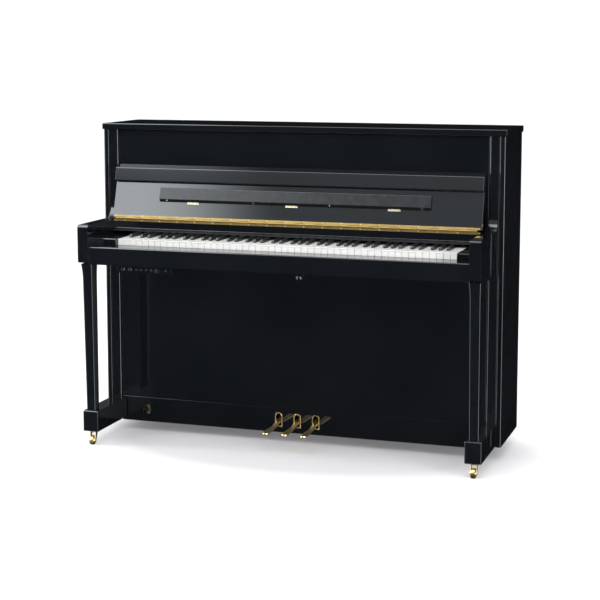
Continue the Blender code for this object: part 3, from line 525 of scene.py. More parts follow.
def make_leg(name):
    """A tapered leg that swells towards the arm."""
    low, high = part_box("leg_" + name)
    x = (low.x + high.x) / 2
    foot = (0.0340, 0.0340, -0.2400)  # wide, deep, Y
    waist = (0.0370, 0.0420, -0.2475)
    head = (0.0418, 0.0505, -0.2517)
    waist_z = 0.590

    def ring(below, above, share, z):
        wide, deep, y = (a + (b - a) * share for a, b in zip(below, above))
        return rounded_square(x, y, z, wide, deep)

    def fill(bm):
        rings = [ring(foot, waist, i / 2, low.z + (waist_z - low.z) * i / 2) for i in range(3)]
        rings += [ring(waist, head, (i / 8) ** 2, waist_z + (high.z - waist_z) * i / 8) for i in range(1, 9)]
        skin(bm, rings)

    piece("front_leg_" + name, fill, "black", soft=0.0006, steps=1, replaces=("leg_" + name,))


def make_toe(name):
    """The toe under the leg, square in front and let into the case behind."""
    low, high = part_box("toe_" + name)
    corners = [(low.y, low.z, 0.004), (low.y, high.z, 0.004), (high.y, high.z, 0), (high.y, low.z, 0.002)]
    toe = extruded(corners, low.x, high.x)
    piece("front_toe_" + name, toe, "black", soft=0.0035, steps=3, replaces=("toe_" + name,))


def make_lid():
    """The top lid, its long hinge at the back and the pads under its front."""
    low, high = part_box("top_lid")
    corners = [
        (low.y, low.z, 0.0025), (low.y, high.z, 0.0030), (high.y, high.z, 0.0025),
        (high.y, low.z, 0.001),
    ]
    barrel_y = 0.2927
    pitch = 0.060
    gap = 0.0006
    count = 23

    def knuckles(bm, first):
        for i in range(first, count, 2):
            x = (i - count / 2) * pitch
            rod(bm, (x + gap, barrel_y, low.z), (x + pitch - gap, barrel_y, low.z), 0.0022)

    pad_places = [(x, -0.0065, low.z - 0.0015) for x in (-0.232, 0.232)]
    pads = turned(pad_places, "Z", [(0.0058, 0.0), (0.0058, 0.0010), (0.0045, 0.0013)], 20)
    board = extruded(corners, low.x, high.x)
    piece("lid_board", board, "black", "top_lid", soft=0.0028, steps=3, replaces=("top_lid",))
    piece("lid_hinge_fixed_knuckles", lambda bm: knuckles(bm, 0), "hinge")
    piece("lid_hinge_moving_knuckles", lambda bm: knuckles(bm, 1), "hinge", "top_lid")
    piece("lid_pads", pads, "rubber")


def make_panels():
    """The flat boards of the case."""
    dress("upper_front_panel", "black", 0.0007)
    dress("lower_front_panel", "black", 0.0007)
    dress("bottom_rail", "black", 0.0010)
    dress("bottom_board", "stained", 0.0015)
    dress("keybed", "stained", 0.0008)


def make_slip():
    """The key slip, with its ledge that runs back to the keys."""
    low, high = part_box("key_slip")
    ledge_low = high.z - 0.015
    top = high.z + 0.002
    neck = -0.2628
    corners = [
        (low.y, low.z, 0.003), (low.y, top - 0.001, 0.0045), (high.y, top, 0.0015),
        (high.y, ledge_low, 0), (neck, ledge_low, 0), (neck, low.z, 0.001),
    ]
    piece("slip_board", extruded(corners, low.x, high.x), "black", soft=0.0006, replaces=("key_slip",))


def make_block(name):
    """A block between the outermost key and the arm, cut away under its middle."""
    low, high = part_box("key_block_" + name)
    shelf = 0.7198
    front = -0.231
    nose = -0.2185
    belly = 0.7078
    heel = -0.149
    corners = [
        (nose, low.z, 0), (nose, shelf, 0), (front, shelf, 0), (front, high.z, 0.0035),
        (high.y, high.z, 0.001), (high.y, low.z + 0.004, 0), (heel, low.z + 0.004, 0),
        (heel, belly, 0), (-0.196, belly, 0), (-0.196, low.z, 0),
    ]
    cheek = extruded(corners, low.x, high.x)
    piece("cheek_block_" + name, cheek, "black", soft=0.0008, replaces=("key_block_" + name,))


def make_nameboard():
    """The board behind the keys, the bead along its lower edge, and the felt strip under it."""
    low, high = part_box("nameboard")
    back = 0.009
    shelf = 0.790
    shelf_under = shelf - 0.015
    foot = low.z + 0.0065
    foot_back = low.y + 0.018
    corners = [
        (low.y, foot, 0.0010), (foot_back, foot, 0), (foot_back, shelf_under, 0),
        (back, shelf_under, 0), (back, shelf, 0), (low.y + 0.010, shelf, 0),
        (low.y + 0.009, high.z, 0.0005), (low.y, high.z, 0.0010),
    ]
    bead = arc((low.y + 0.0005, foot + 0.0018), 0.0020, 80, 280, 14)

    strip_low = (low.x + 0.002, low.y + 0.0025, low.z - 0.0022)
    strip_high = (high.x - 0.002, low.y + 0.014, foot - 0.0001)
    piece("name_board", extruded(corners, low.x, high.x), "black", replaces=("nameboard",))
    bead_rod = outlined(bead, "X", low.x + 0.001, high.x - 0.001)
    piece("nameboard_bead", bead_rod, "black")
    piece("key_felt_strip", blocks([(strip_low, strip_high)]), "dark_felt", soft=0.0006)


# ---- fallboard, its hinge and the music shelf
def fall_point(u, v):
    """A point (Y, Z) on the open fallboard: u up along it, v away from the player."""
    y = HINGE.y + u * math.sin(LEAN) + v * math.cos(LEAN)
    z = HINGE.z + u * math.cos(LEAN) - v * math.sin(LEAN)
    return (y, z)


def hanging_point(u, v):
    """A point (Y, Z) on the fixed leaf: u down from the barrel, v away from the player."""
    return (HINGE.y + v, HINGE.z - u)


FACE = 0.0035  # from the hinge axis back to the fallboard's face
FALL_HALF = 0.6765


def make_fallboard():
    """The fallboard, with its thick front rail and slanted end."""
    foot = 0.0045
    lip_start = 0.135
    length = 0.2025
    slant = 0.020
    back = FACE + 0.018
    corners = [
        (foot, FACE, 0.0008), (lip_start, FACE, 0.0010), (lip_start, -0.0135, 0.0030),
        (length - slant, -0.0175, 0.0040), (length, back - 0.003, 0.0020), (length, back, 0.0010),
        (foot, back, 0.0020),
    ]
    board = extruded(corners, -FALL_HALF, FALL_HALF, to_world=fall_point)
    piece("fall_board", board, "black", "fallboard", soft=0.0014, steps=3, replaces=("fallboard",))


def make_leaf(name, to_world, length, first, body, node):
    """One leaf of the long hinge: plate, every second knuckle, and its row of screws."""
    half = 0.672
    near = 0.0019
    far = 0.0032
    radius = 0.0032
    start = radius + 0.0012
    pitch = 0.034
    gap = 0.0005
    count = int(2 * half / pitch)
    plate = extruded([(start, near, 0), (length, near, 0.0006), (length, far, 0), (start, far, 0)],
                     -half, half, to_world=to_world, steps=3)
    barrel = arc((0.0, 0.0), radius, 90, 399, 16)
    knuckle = [(start + 0.0006, far), (0.0010, far)] + barrel + [(start + 0.0006, near)]

    def fill(bm):
        plate(bm)
        shape = [to_world(u, v) for u, v in knuckle]
        for i in range(first, count, 2):
            x = (i - count / 2) * pitch
            prism(bm, shape, "X", x + gap, x + pitch - gap)

    row = to_world((start + length) / 2, near)
    places = [((i + 0.5 - count / 4) * 2 * pitch, *row) for i in range(count // 2)]
    screws = turned(places, "Y", [(0.0026, 0.0003), (0.0026, -0.0003), (0.0016, -0.0007)], 16)
    piece(name + "_plate", fill, "hinge", body, soft=0.0002, steps=1, replaces=(node,))
    piece(name + "_screws", screws, "brass", body)


def make_hinge():
    """The long hinge: one leaf hangs on the nameboard, the other lies on the fallboard."""
    make_leaf("nameboard_leaf", hanging_point, 0.0115, 0, "case", "nameboard_hinge_leaf")
    make_leaf("fallboard_leaf", fall_point, 0.0120, 1, "fallboard", "fallboard_hinge_leaf")


def make_shelf():
    """The folding music shelf, with its three small hinges and four studs."""
    start = 0.065
    top = start + 0.050
    grip = start + 0.008
    back = FACE - 0.0005
    half = 0.498
    board_corners = [
        (grip, back, 0.0001), (grip, back - 0.0096, 0.0006), (top, back - 0.0104, 0.0030),
        (top, back, 0.0008),
    ]
    edge_corners = [
        (start, back, 0.0004), (start, back - 0.002, 0.0003), (grip, back - 0.0094, 0.0001),
        (grip, back, 0.0001),
    ]
    board = extruded(board_corners, -half, half, to_world=fall_point)
    edge = extruded(edge_corners, -half, half, to_world=fall_point)
    piece("shelf_board", board, "satin", "music_shelf", soft=0.0010, steps=3, replaces=("music_shelf",))
    # the grip edge gets painted shade, a near-black matt finish for the shadow of the gap under the shelf
    piece("shelf_grip_edge", edge, "edge", "music_shelf")
    make_shelf_hinges(start, back)
    inner = fall_point(start + 0.0042, back - 0.0045)
    outer = fall_point(start + 0.0032, back - 0.0062)
    studs = rods([((x, *inner), (x, *outer)) for x in (-0.470, -0.140, 0.140, 0.470)], 0.0026, 16)
    piece("shelf_studs", studs, "nickel", "music_shelf", soft=0.0004)


def make_shelf_hinges(start, back):
    """The shelf's small hinges along its lower edge, with knuckles, fixed leaves and screws."""
    pivot = fall_point(start - 0.001, back - 0.0015)
    places = (-0.370, 0.0, 0.370)
    half = 0.022
    leaf_low = start - 0.0062
    leaf_high = start - 0.0028
    leaf_near = FACE - 0.0011
    leaf_far = FACE - 0.0001
    leaf = [(leaf_low, leaf_near), (leaf_high, leaf_near), (leaf_high, leaf_far), (leaf_low, leaf_far)]

    def knuckles(spans):
        pairs = [((x + left, *pivot), (x + right, *pivot)) for x in places for left, right in spans]
        return rods(pairs, 0.0014, 14)

    def leaves(bm):
        for x in places:
            prism(bm, [fall_point(u, v) for u, v in leaf], "X", x - half, x + half)

    middle = (leaf_low + leaf_high) / 2
    inner = fall_point(middle, leaf_near + 0.0001)
    outer = fall_point(middle, leaf_near - 0.0003)
    screw_places = [x + shift for x in places for shift in (-0.015, 0.0, 0.015)]
    screws = rods([((x, *inner), (x, *outer)) for x in screw_places], 0.0012, 14)
    outer_knuckles = knuckles(((-half, -0.0075), (0.0075, half)))
    middle_knuckles = knuckles(((-0.0071, 0.0071),))
    piece("shelf_hinge_knuckles", outer_knuckles, "pale_brass", "fallboard")
    piece("shelf_hinge_middles", middle_knuckles, "pale_brass", "music_shelf")
    piece("shelf_hinge_leaves", leaves, "pale_brass", "fallboard", soft=0.0002)
    piece("shelf_hinge_screws", screws, "hinge", "fallboard", soft=0.0003)


# ---- keys
def is_sharp(note):
    """Whether a note, counted from the lowest A, is a black key."""
    return note % 12 in (1, 4, 6, 9, 11)


def white_index(note):
    """How many white keys lie below a note."""
    return sum(1 for other in range(note) if not is_sharp(other))


def sharp_centre(note):
    """The X of a black key's middle."""
    nudge = {4: -0.0025, 6: 0.0025, 9: -0.0035, 11: 0.0, 1: 0.0035}[note % 12]
    return KEYBOARD_LEFT + white_index(note) * WHITE_PITCH + nudge


def white_outline(note, front, back, inset):
    """The plan (X, Y) of a white key, drawn in by inset on its sides."""
    left = KEYBOARD_LEFT + white_index(note) * WHITE_PITCH + KEY_SPACE / 2 + inset
    right = left + WHITE_PITCH - KEY_SPACE - 2 * inset
    tail_left = left
    tail_right = right
    clear = 0.0065 + inset
    if note > 0 and is_sharp(note - 1):
        tail_left = sharp_centre(note - 1) + clear
    if note < NOTES - 1 and is_sharp(note + 1):
        tail_right = sharp_centre(note + 1) - clear
    shoulder = -0.167
    outline = [(left, front), (right, front)]
    if tail_right < right:
        outline += [(right, shoulder), (tail_right, shoulder)]
    outline += [(tail_right, back), (tail_left, back)]
    if tail_left > left:
        outline += [(tail_left, shoulder), (left, shoulder)]
    return outline


KEY_LOW = 0.721
KEY_TOP = 0.743
KEY_FRONT = -0.217
KEY_BACK = 0.130
COVER = 0.0030


def add_white_cover(bm, note):
    """The acrylic cover: its top with a small lip, and its front."""
    inset = 0.0001
    under = KEY_TOP - COVER
    prism(bm, white_outline(note, KEY_FRONT, -0.040, inset), "Z", under, KEY_TOP)
    left, right = (p[0] for p in white_outline(note, 0, 1, inset)[:2])
    block(bm, (left, KEY_FRONT + 0.0010, KEY_LOW + 0.0004), (right, KEY_FRONT + 0.0034, under - 0.00005))


def add_white_stick(bm, note):
    """The wooden stick under the cover, and on behind it."""
    outline = white_outline(note, KEY_FRONT + 0.0035, KEY_BACK, 0.0006)
    prism(bm, outline, "Z", KEY_LOW, KEY_TOP - COVER - 0.0001)


def add_sharp_cover(bm, note):
    """A black key's top: narrower above than below, with a sloped and rounded front."""
    x = sharp_centre(note)
    base = 0.0054
    crown = 0.0046
    low = KEY_TOP - 0.0006
    top = 0.7552
    sections = (
        (-0.1658, low, 0.7450, base - 0.0004, base - 0.0006),
        (-0.1640, low, 0.7500, base, crown + 0.0002),
        (-0.1615, low, 0.7538, base, crown),
        (-0.1580, low, top, base, crown),
        (-0.0590, low, top, base, crown),
        (-0.0582, low, top - 0.0006, base, crown),
    )
    rings = []
    for y, z_low, z_top, half_low, half_top in sections:
        curve = 0.0011
        crest = arc((half_top - curve, z_top - curve), curve, 0, 90, 3)
        ring = [(x - half_low, y, z_low), (x + half_low, y, z_low)]
        ring += [(x + a, y, z) for a, z in crest]
        ring += [(x - a, y, z) for a, z in reversed(crest)]
        rings.append(ring)
    skin(bm, rings)


def add_sharp_stick(bm, note):
    """The dark stick under a black key's top."""
    x = sharp_centre(note)
    block(bm, (x - 0.0050, -0.1645, KEY_LOW), (x + 0.0050, KEY_BACK, KEY_TOP - 0.0007))


def key_node(note):
    """The CAD node of a single key, named by its note and octave."""
    letters = ("a", "a_sharp_", "b", "c", "c_sharp_", "d", "d_sharp_", "e", "f", "f_sharp_", "g", "g_sharp_")
    return "key_" + letters[note % 12] + str((note + 9) // 12)


def for_notes(notes, add_part):
    """A fill that adds the same part of each note's key."""

    def fill(bm):
        for note in notes:
            add_part(bm, note)

    return fill


def make_keys():
    """Every key: single ones for middle C's octave, and two sets for the rest."""
    singles = range(FIRST_SINGLE, FIRST_SINGLE + SINGLES)
    rest = [n for n in range(NOTES) if n not in singles]
    groups = [("white_keys", [n for n in rest if not is_sharp(n)], False)]
    groups.append(("black_keys", [n for n in rest if is_sharp(n)], True))
    groups += [(key_node(n), [n], is_sharp(n)) for n in singles]
    for node, notes, sharp in groups:
        covers = for_notes(notes, add_sharp_cover if sharp else add_white_cover)
        sticks = for_notes(notes, add_sharp_stick if sharp else add_white_stick)
        finish = "ebony" if sharp else "white"
        soft = 0.0002 if sharp else 0.0005
        piece(node + "_cover", covers, finish, node, soft=soft, replaces=(node,))
        stick_finish = "stained" if sharp else "sticks"
        piece(node + "_stick", sticks, stick_finish, node, soft=0.0003, steps=1)


# ---- pedals
def sweep(bm, stations, x, sides=20, power=0.62):
    """A bar through stations (y, z, half width, half thickness) with rounded-square sections."""
    rings = []
    count = len(stations)
    for i, (y, z, half, thick) in enumerate(stations):
        before = stations[max(i - 1, 0)]
        after = stations[min(i + 1, count - 1)]
        run = Vector((after[0] - before[0], after[1] - before[1])).normalized()
        normal = (-run.y, run.x)
        ring = []
        for c, s in circle(1.0, sides):
            c = math.copysign(abs(c) ** power, c)
            s = math.copysign(abs(s) ** power, s)
            ring.append((x + half * c, y + normal[0] * thick * s, z + normal[1] * thick * s))
        rings.append(ring)
    skin(bm, rings)


def pedal_stations():
    """The pedal's middle line: a flat tongue with a rounded tip, a low neck, and the lever behind."""
    tip = -0.163
    tip_length = 0.012
    tongue_z = 0.0663
    tongue_half = 0.0128
    stations = []
    for i in range(7):
        angle = math.radians(15 * i)
        reach = tip_length * (1 - math.cos(angle))
        half = tongue_half * max(math.sin(angle), 0.12)
        stations.append((tip + reach, tongue_z, half, 0.0018 + 0.0026 * math.sin(angle)))
    stretches = (  # steps, and where each stretch ends: Y, Z, half width, half thickness
        (5, -0.066, tongue_z, 0.0088, 0.0044),
        (4, -0.020, 0.0743, 0.0082, 0.0044),
        (6, 0.030, 0.0925, 0.0075, 0.0045),
        (1, 0.090, 0.0925, 0.0075, 0.0050),
    )
    for steps, y, z, half, thick in stretches:
        y_before, z_before, half_before, _ = stations[-1]
        for i in range(1, steps + 1):
            share = i / steps
            rise = (z - z_before) * (0.5 - 0.5 * math.cos(math.pi * share))
            width = half_before + (half - half_before) * share
            stations.append((y_before + (y - y_before) * share, z_before + rise, width, thick))
    return stations


def make_pedals():
    """The three brass pedals, and the brass rim around each slot."""
    places = (("soft", -0.070), ("middle", 0.0), ("sustain", 0.070))
    for name, x in places:
        node = "pedal_" + name

        def fill(bm, x=x):
            sweep(bm, pedal_stations(), x)

        piece(node + "_brass", fill, "brass", node, replaces=(node,))

    def rims(bm):
        front = -0.0112
        back = -0.0040
        for _, x in places:
            rings = []
            for (a, b), (c, d) in zip(slot_ring(x, 0.0134), slot_ring(x, 0.0106)):
                rings.append([(a, front, b), (c, front, d), (c, back, d), (a, back, b)])
            skin(bm, rings, closed=True)

    piece("pedal_slot_rims", rims, "brass", soft=0.0003, steps=1)


def slot_ring(x, half):
    """The outline (X, Z) of a pedal slot, drawn in to a half width."""
    top = 0.1085
    low = 0.056
    slot_half = 0.0135
    inset = slot_half - half
    crown = arc((x, top - slot_half), half, 0, 180, 10)
    return [(x - half, low + inset), (x + half, low + inset)] + crown


# ---- casters and rollers
def make_caster(name):
    """A brass caster: its swivel plate and cup, the fork, and the wheel on its axle."""
    low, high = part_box("caster_wheel_" + name)
    centre = (low + high) / 2
    radius = (high.z - low.z) / 2
    half = (high.x - low.x) / 2
    fork_inside = half + 0.0009
    fork_outside = half + 0.0035
    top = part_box("caster_fork_" + name)[1].z
    stem_y = -0.238
    stem_half = 0.0095
    fork_body = "caster_fork_" + name
    wheel_node = "caster_wheel_" + name

    def plate(bm):
        dish = [(0.0165, 0.0), (0.0168, -0.0012), (0.0160, -0.0026)]
        cup = [(0.0115, -0.0034), (0.0105, -0.0052), (0.0090, -0.0060)]
        lathe(bm, (centre.x, stem_y, top), "Z", dish + cup, 32)

    def fork(bm):
        foot = arc((centre.y, centre.z), 0.0063, 180, 360, 10)
        outline = foot + [(stem_y + stem_half, top - 0.0050), (stem_y - stem_half, top - 0.0050)]
        prism(bm, outline, "X", centre.x - fork_outside, centre.x - fork_inside)
        prism(bm, outline, "X", centre.x + fork_inside, centre.x + fork_outside)
        bridge = (centre.x - fork_outside, stem_y - stem_half, top - 0.0066)
        block(bm, bridge, (centre.x + fork_outside, stem_y + stem_half, top - 0.0045))

    def axle(bm):
        ends = [(centre.x + sign * fork_outside, centre.y, centre.z) for sign in (-1, 1)]
        rod(bm, *ends, 0.0028, 16)
        for sign, end in zip((-1, 1), ends):
            cap = [(0.0046, 0.0), (0.0044, sign * 0.0010), (0.0028, sign * 0.0018), (0.0008, sign * 0.0021)]
            lathe(bm, end, "X", cap, 20)

    def wheel(bm):
        hub = [(0.0034, -half), (0.0060, -half), (0.0068, -half + 0.0012), (radius - 0.0035, -half + 0.0014)]
        tread = [(radius - 0.0016, -half + 0.0003), (radius - 0.0004, -half + 0.0012)]
        tread.append((radius, -half + 0.0028))
        lathe(bm, tuple(centre), "X", mirrored(hub + tread), 48, closed=True)

    piece(f"caster_{name}_plate", plate, "brass", fork_body, replaces=(fork_body,))
    piece(f"caster_{name}_fork", fork, "brass", fork_body, soft=0.0007)
    piece(f"caster_{name}_axle", axle, "brass", fork_body)
    piece(f"caster_{name}_brass_wheel", wheel, "brass", wheel_node, replaces=(wheel_node,))


def make_roller(name):
    """A rear roller: an iron wheel with a rubber tyre, in its bracket."""
    node = "roller_" + name
    low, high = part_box(node)
    centre = tuple((low + high) / 2)
    radius = (high.z - low.z) / 2
    half = (high.x - low.x) / 2
    bracket_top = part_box("roller_bracket_" + name)[1].z

    def tyre(bm):
        profile = [(radius - 0.006, -half + 0.001), (radius - 0.0012, -half), (radius, -half + 0.003)]
        lathe(bm, centre, "X", mirrored(profile), 48, closed=True)

    def hub(bm):
        boss = [(0.0034, -half), (0.0080, -half), (0.0090, -half + 0.004)]
        rim = [(radius - 0.0085, -half + 0.004), (radius - 0.0060, -half + 0.0012)]
        lathe(bm, centre, "X", mirrored(boss + rim), 48, closed=True)

    shifts = [(x, y) for x in (-0.019, 0.019) for y in (-0.020, 0.020)]
    spots = [(centre[0] + x, centre[1] + y, bracket_top - 0.003) for x, y in shifts]
    screws = turned(spots, "Z", [(0.0032, 0.0), (0.0030, -0.0008), (0.0016, -0.0016)], 14)
    piece(node + "_tyre", tyre, "rubber", node, replaces=(node,))
    piece(node + "_hub", hub, "powder", node)
    dress("roller_bracket_" + name, "powder", 0.0006)
    piece(node + "_bracket_screws", screws, "nickel")


# ---- back
def make_back():
    """The back frame: two beams, five posts, and the bolts that join them."""
    low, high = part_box("back_frame")
    count = 5
    half = 0.030
    reach = high.x - half
    places = [-reach + 2 * reach * i / (count - 1) for i in range(count)]
    spots = [(x + shift, high.y, z) for x in places for z in (0.102, 1.069) for shift in (-0.013, 0.013)]
    lower_beam = ((low.x, 0.216, low.z), (high.x, high.y, 0.135))
    upper_beam = ((low.x, 0.225, 1.030), (high.x, high.y, high.z))
    beams = blocks([lower_beam, upper_beam])
    posts = blocks([((x - half, 0.235, 0.1345), (x + half, high.y - 0.0006, 1.0305)) for x in places])
    bolts = turned(spots, "Y", [(0.0062, -0.001), (0.0062, 0.0006), (0.0036, 0.0014)], 18)
    piece("back_beams", beams, "beech_x", soft=0.004, steps=3, replaces=("back_frame",))
    piece("back_posts", posts, "beech_z", soft=0.003)
    piece("back_bolts", bolts, "nickel")
    dress("pin_block", "beech_x", 0.001)


def make_soundboard():
    """The soundboard, its scalloped ribs, its bridges and the liner round its edge."""
    low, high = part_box("soundboard")
    face = 0.2110
    rear = 0.2195
    rib_back = 0.2340
    count = 9

    def ribs(bm):
        thin = rear + 0.004
        shares = (0.0, 0.06, 0.16, 0.84, 0.94, 1.0)
        backs = (thin, thin + 0.002, rib_back, rib_back, thin + 0.002, thin)
        for i in range(count):
            x = -0.620 + i * 0.115
            rings = []
            for share, back in zip(shares, backs):
                centre = x + 0.320 * share
                z = 0.160 + 0.800 * share
                ring = [(centre, rear - 0.0005, z), (centre + 0.022, rear - 0.0005, z)]
                ring += [(centre + 0.022, back, z), (centre, back, z)]
                rings.append(ring)
            skin(bm, rings)

    def bridges(bm):
        front = 0.1668
        centre = (0.620, 1.100)
        treble = arc(centre, 0.860, 250, 212, 24) + arc(centre, 0.832, 212, 250, 24)
        prism(bm, treble, "Y", front, face + 0.0005)
        bass = [(0.200, 0.230), (0.560, 0.180), (0.566, 0.206), (0.206, 0.256)]
        prism(bm, bass, "Y", front, face + 0.0005)

    board = blocks([((low.x, face, low.z), (high.x, rear, high.z))])
    heights = (low.z, high.z - 0.020)
    liner = blocks([((low.x, rear - 0.0003, z), (high.x, rear + 0.006, z + 0.020)) for z in heights])
    piece("sound_board", board, "spruce", soft=0.0008, steps=1, replaces=("soundboard",))
    piece("soundboard_ribs", ribs, "spruce", soft=0.0008)
    piece("soundboard_bridges", bridges, "maple", soft=0.001)
    piece("soundboard_liner", liner, "beech_x", soft=0.001)


# ---- plate, pins and strings
def pin_place(index):
    """Where a tuning pin stands (X, Z): three staggered rows along the pin block."""
    row = index % 3
    return -0.640 + index * 0.00575, 0.985 + row * 0.026


def make_strung_back():
    """The plate with its bolts, the tuning pins, and the strings down to the bottom."""
    dress("iron_plate", "plate", 0.0016)
    dress("strings_treble", "steel")
    dress("strings_bass", "copper")
    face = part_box("iron_plate")[0].y
    places = [pin_place(i) for i in range(223)]
    centres = [(x, face, z) for x, z in places]
    pin = [(0.0034, 0.001), (0.0034, -0.0125), (0.0030, -0.0130), (0.0027, -0.0220), (0.0022, -0.0225)]
    coil = [(0.0044, -0.0050), (0.0047, -0.0060), (0.0047, -0.0082), (0.0044, -0.0092)]
    tails = [((x + 0.0040, face - 0.0070, z), (x + 0.0010, face - 0.0062, 0.9345)) for x, z in places]
    spots = [(-0.660 + i * 0.165, face, z) for i in range(9) for z in (0.107, 1.068)]
    bolts = turned(spots, "Y", [(0.0090, 0.001), (0.0088, -0.0030), (0.0060, -0.0055)], 6)
    piece("tuning_pins", turned(centres, "Y", pin, 10), "blued")
    piece("pin_coils", turned(centres, "Y", coil, 10), "nickel")
    piece("string_tails", rods(tails, 0.0005, 4), "nickel")
    piece("plate_bolts", bolts, "plate", soft=0.0005)


# ---- action
def action_x(note):
    """Where a note's hammer and damper stand."""
    return KEYBOARD_SHIFT + (note - (NOTES - 1) / 2) * ACTION_PITCH


def make_hammers():
    """The hammers: maple shanks and mouldings, felt heads, and the rail that carries them."""

    def shanks(bm):
        block(bm, (action_x(0) - 0.010, 0.1125, 0.845), (action_x(NOTES - 1) + 0.010, 0.1215, 0.859))
        for note in range(NOTES):
            x = action_x(note)
            rod(bm, (x, 0.1168, 0.8585), (x, 0.1168, 0.9300), 0.0021, 8)
            moulding = [(0.1112, 0.9285), (0.1300, 0.9345), (0.1300, 0.9385), (0.1112, 0.9420)]
            prism(bm, moulding, "X", x - 0.0026, x + 0.0026)

    def heads(bm):
        for note in range(NOTES):
            x = action_x(note)
            half = 0.0050 - 0.0014 * note / NOTES
            corners = [
                (0.1240, 0.9290, 0.002), (0.1385, 0.9310, 0.004), (0.1458, 0.9370, 0.0030),
                (0.1385, 0.9430, 0.004), (0.1240, 0.9445, 0.002),
            ]
            prism(bm, rounded(corners, 4), "X", x - half, x + half)

    rest_felt = blocks([((action_x(0), 0.1072, 0.9055), (action_x(NOTES - 1), 0.1098, 0.9195))])
    piece("hammer_shanks", shanks, "maple", "hammers", replaces=("hammers",))
    piece("hammer_heads", heads, "felt", "hammers", soft=0.0006)
    dress("action_frame", "powder", 0.0006)
    piece("hammer_rest_felt", rest_felt, "green_felt", soft=0.0006)
    dress("hammer_stop_rail", "powder", 0.0004)


def make_dampers():
    """The dampers: felt pads on small blocks, their wires, and the rail that lifts them."""
    front = 0.1490
    back = 0.1562
    places = [action_x(note) for note in range(DAMPERS)]
    pads = blocks([((x - 0.0045, 0.1520, 0.8400), (x + 0.0045, back, 0.8745)) for x in places])
    heads = blocks([((x - 0.0042, front, 0.8440), (x + 0.0042, 0.1521, 0.8700)) for x in places])

    def wires(bm):
        for x in places:
            rod(bm, (x, 0.1512, 0.7960), (x, 0.1512, 0.8450), 0.0009, 6)
        block(bm, (places[0] - 0.010, front, 0.785), (places[-1] + 0.010, back, 0.797))

    piece("damper_felts", pads, "felt", "dampers", soft=0.001, replaces=("dampers",))
    piece("damper_blocks", heads, "maple", "dampers", soft=0.0004)
    piece("damper_wires", wires, "nickel", "dampers")


# ---- silent system
def make_control_box():
    """The box under the keybed: collars on its sockets, and the volume knob."""
    dress("control_box", "black", 0.0007)
    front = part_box("control_box")[0].y
    z = 0.6455

    wide = [(0.0035, 0.002), (0.0035, -0.0018), (0.0052, -0.0018), (0.0060, -0.0010), (0.0060, 0.0005)]
    small = [(0.00195, 0.001), (0.00195, -0.0010), (0.0034, -0.0010), (0.0038, -0.0005)]
    small.append((0.0038, 0.0003))

    def collars(bm):
        for x in (-0.554, -0.528):
            lathe(bm, (x, front, z), "Y", wide, 24, closed=True)
        for x in (-0.505, -0.486, -0.467, -0.447, -0.394):
            lathe(bm, (x, front, z), "Y", small, 20, closed=True)

    def knob(bm):
        low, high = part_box("volume_knob")
        centre = (low + high) / 2
        outline = []
        teeth = 24
        for i in range(teeth * 2):
            angle = math.pi * i / teeth
            radius = 0.0075 if i % 2 else 0.0072
            outline.append((centre.x + radius * math.cos(angle), centre.z + radius * math.sin(angle)))
        prism(bm, outline, "Y", low.y + 0.002, high.y)
        lathe(bm, (centre.x, low.y, centre.z), "Y", [(0.0052, 0.0), (0.0066, 0.0005), (0.0070, 0.0021)], 32)
        mark_low = (centre.x - 0.0004, low.y - 0.0002, centre.z)
        block(bm, mark_low, (centre.x + 0.0004, (low.y + high.y) / 2, centre.z + 0.0064))

    piece("socket_collars", collars, "blued")
    piece("volume_dial", knob, "plastic", "volume_knob", replaces=("volume_knob",))


def make_mute_knob():
    """The turned knob that pulls the silent rail over, on its nickel rod."""
    low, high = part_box("mute_lever")
    centre = ((low.x + high.x) / 2, low.y, (low.z + high.z) / 2)

    def knob(bm):
        profile = [(0.0012, 0.0)]
        for i in range(1, 13):
            angle = math.radians(11.25 * i)
            profile.append((0.0124 * math.sin(angle), 0.0110 - 0.0110 * math.cos(angle)))
        profile += [(0.0062, 0.0200), (0.0062, 0.0220)]
        lathe(bm, centre, "Y", profile, 40)

    ends = [(centre[0], y, centre[2]) for y in (low.y + 0.018, high.y)]
    stem = rods([ends], 0.0038, 16)
    piece("mute_knob", knob, "black", "mute_lever", replaces=("mute_lever",))
    piece("mute_rod", stem, "nickel", "mute_lever")


# ---- stage
def make_floor():
    """A pale floor with painted shadow, darker near the piano and brighter with the distance, and a faint
    painted glow that lifts its shadows.
    """
    g = Graph("floor", (0.81, 0.81, 0.815), 0.6)
    away = add_node(g.tree, "VectorMath", {0: g.stretch((0.55, 1.0, 1.0))}, "Value", operation="LENGTH")
    inputs = {"Value": away, "From Min": 0.05, "From Max": 0.80}
    reach = add_node(g.tree, "MapRange", inputs, "Result", interpolation_type="SMOOTHSTEP")
    # painted shadow: the floor's colour is darker close to the piano and fades to pale further away
    g.colour(reach, (0.60, 0.595, 0.61), (0.93, 0.93, 0.935))
    # painted light: a faint glow from the floor itself that lifts the shade under the piano
    g.set("Emission Color", (0.98, 0.96, 1.0, 1.0))
    g.set("Emission Strength", 0.12)
    g.rough(g.noise(3.0), 0.55, 0.65)

    def fill(bm):
        bmesh.ops.create_grid(bm, x_segments=1, y_segments=1, size=30.0)

    floor = new_object("floor", fill, g.mat)
    floor.visible_glossy = False


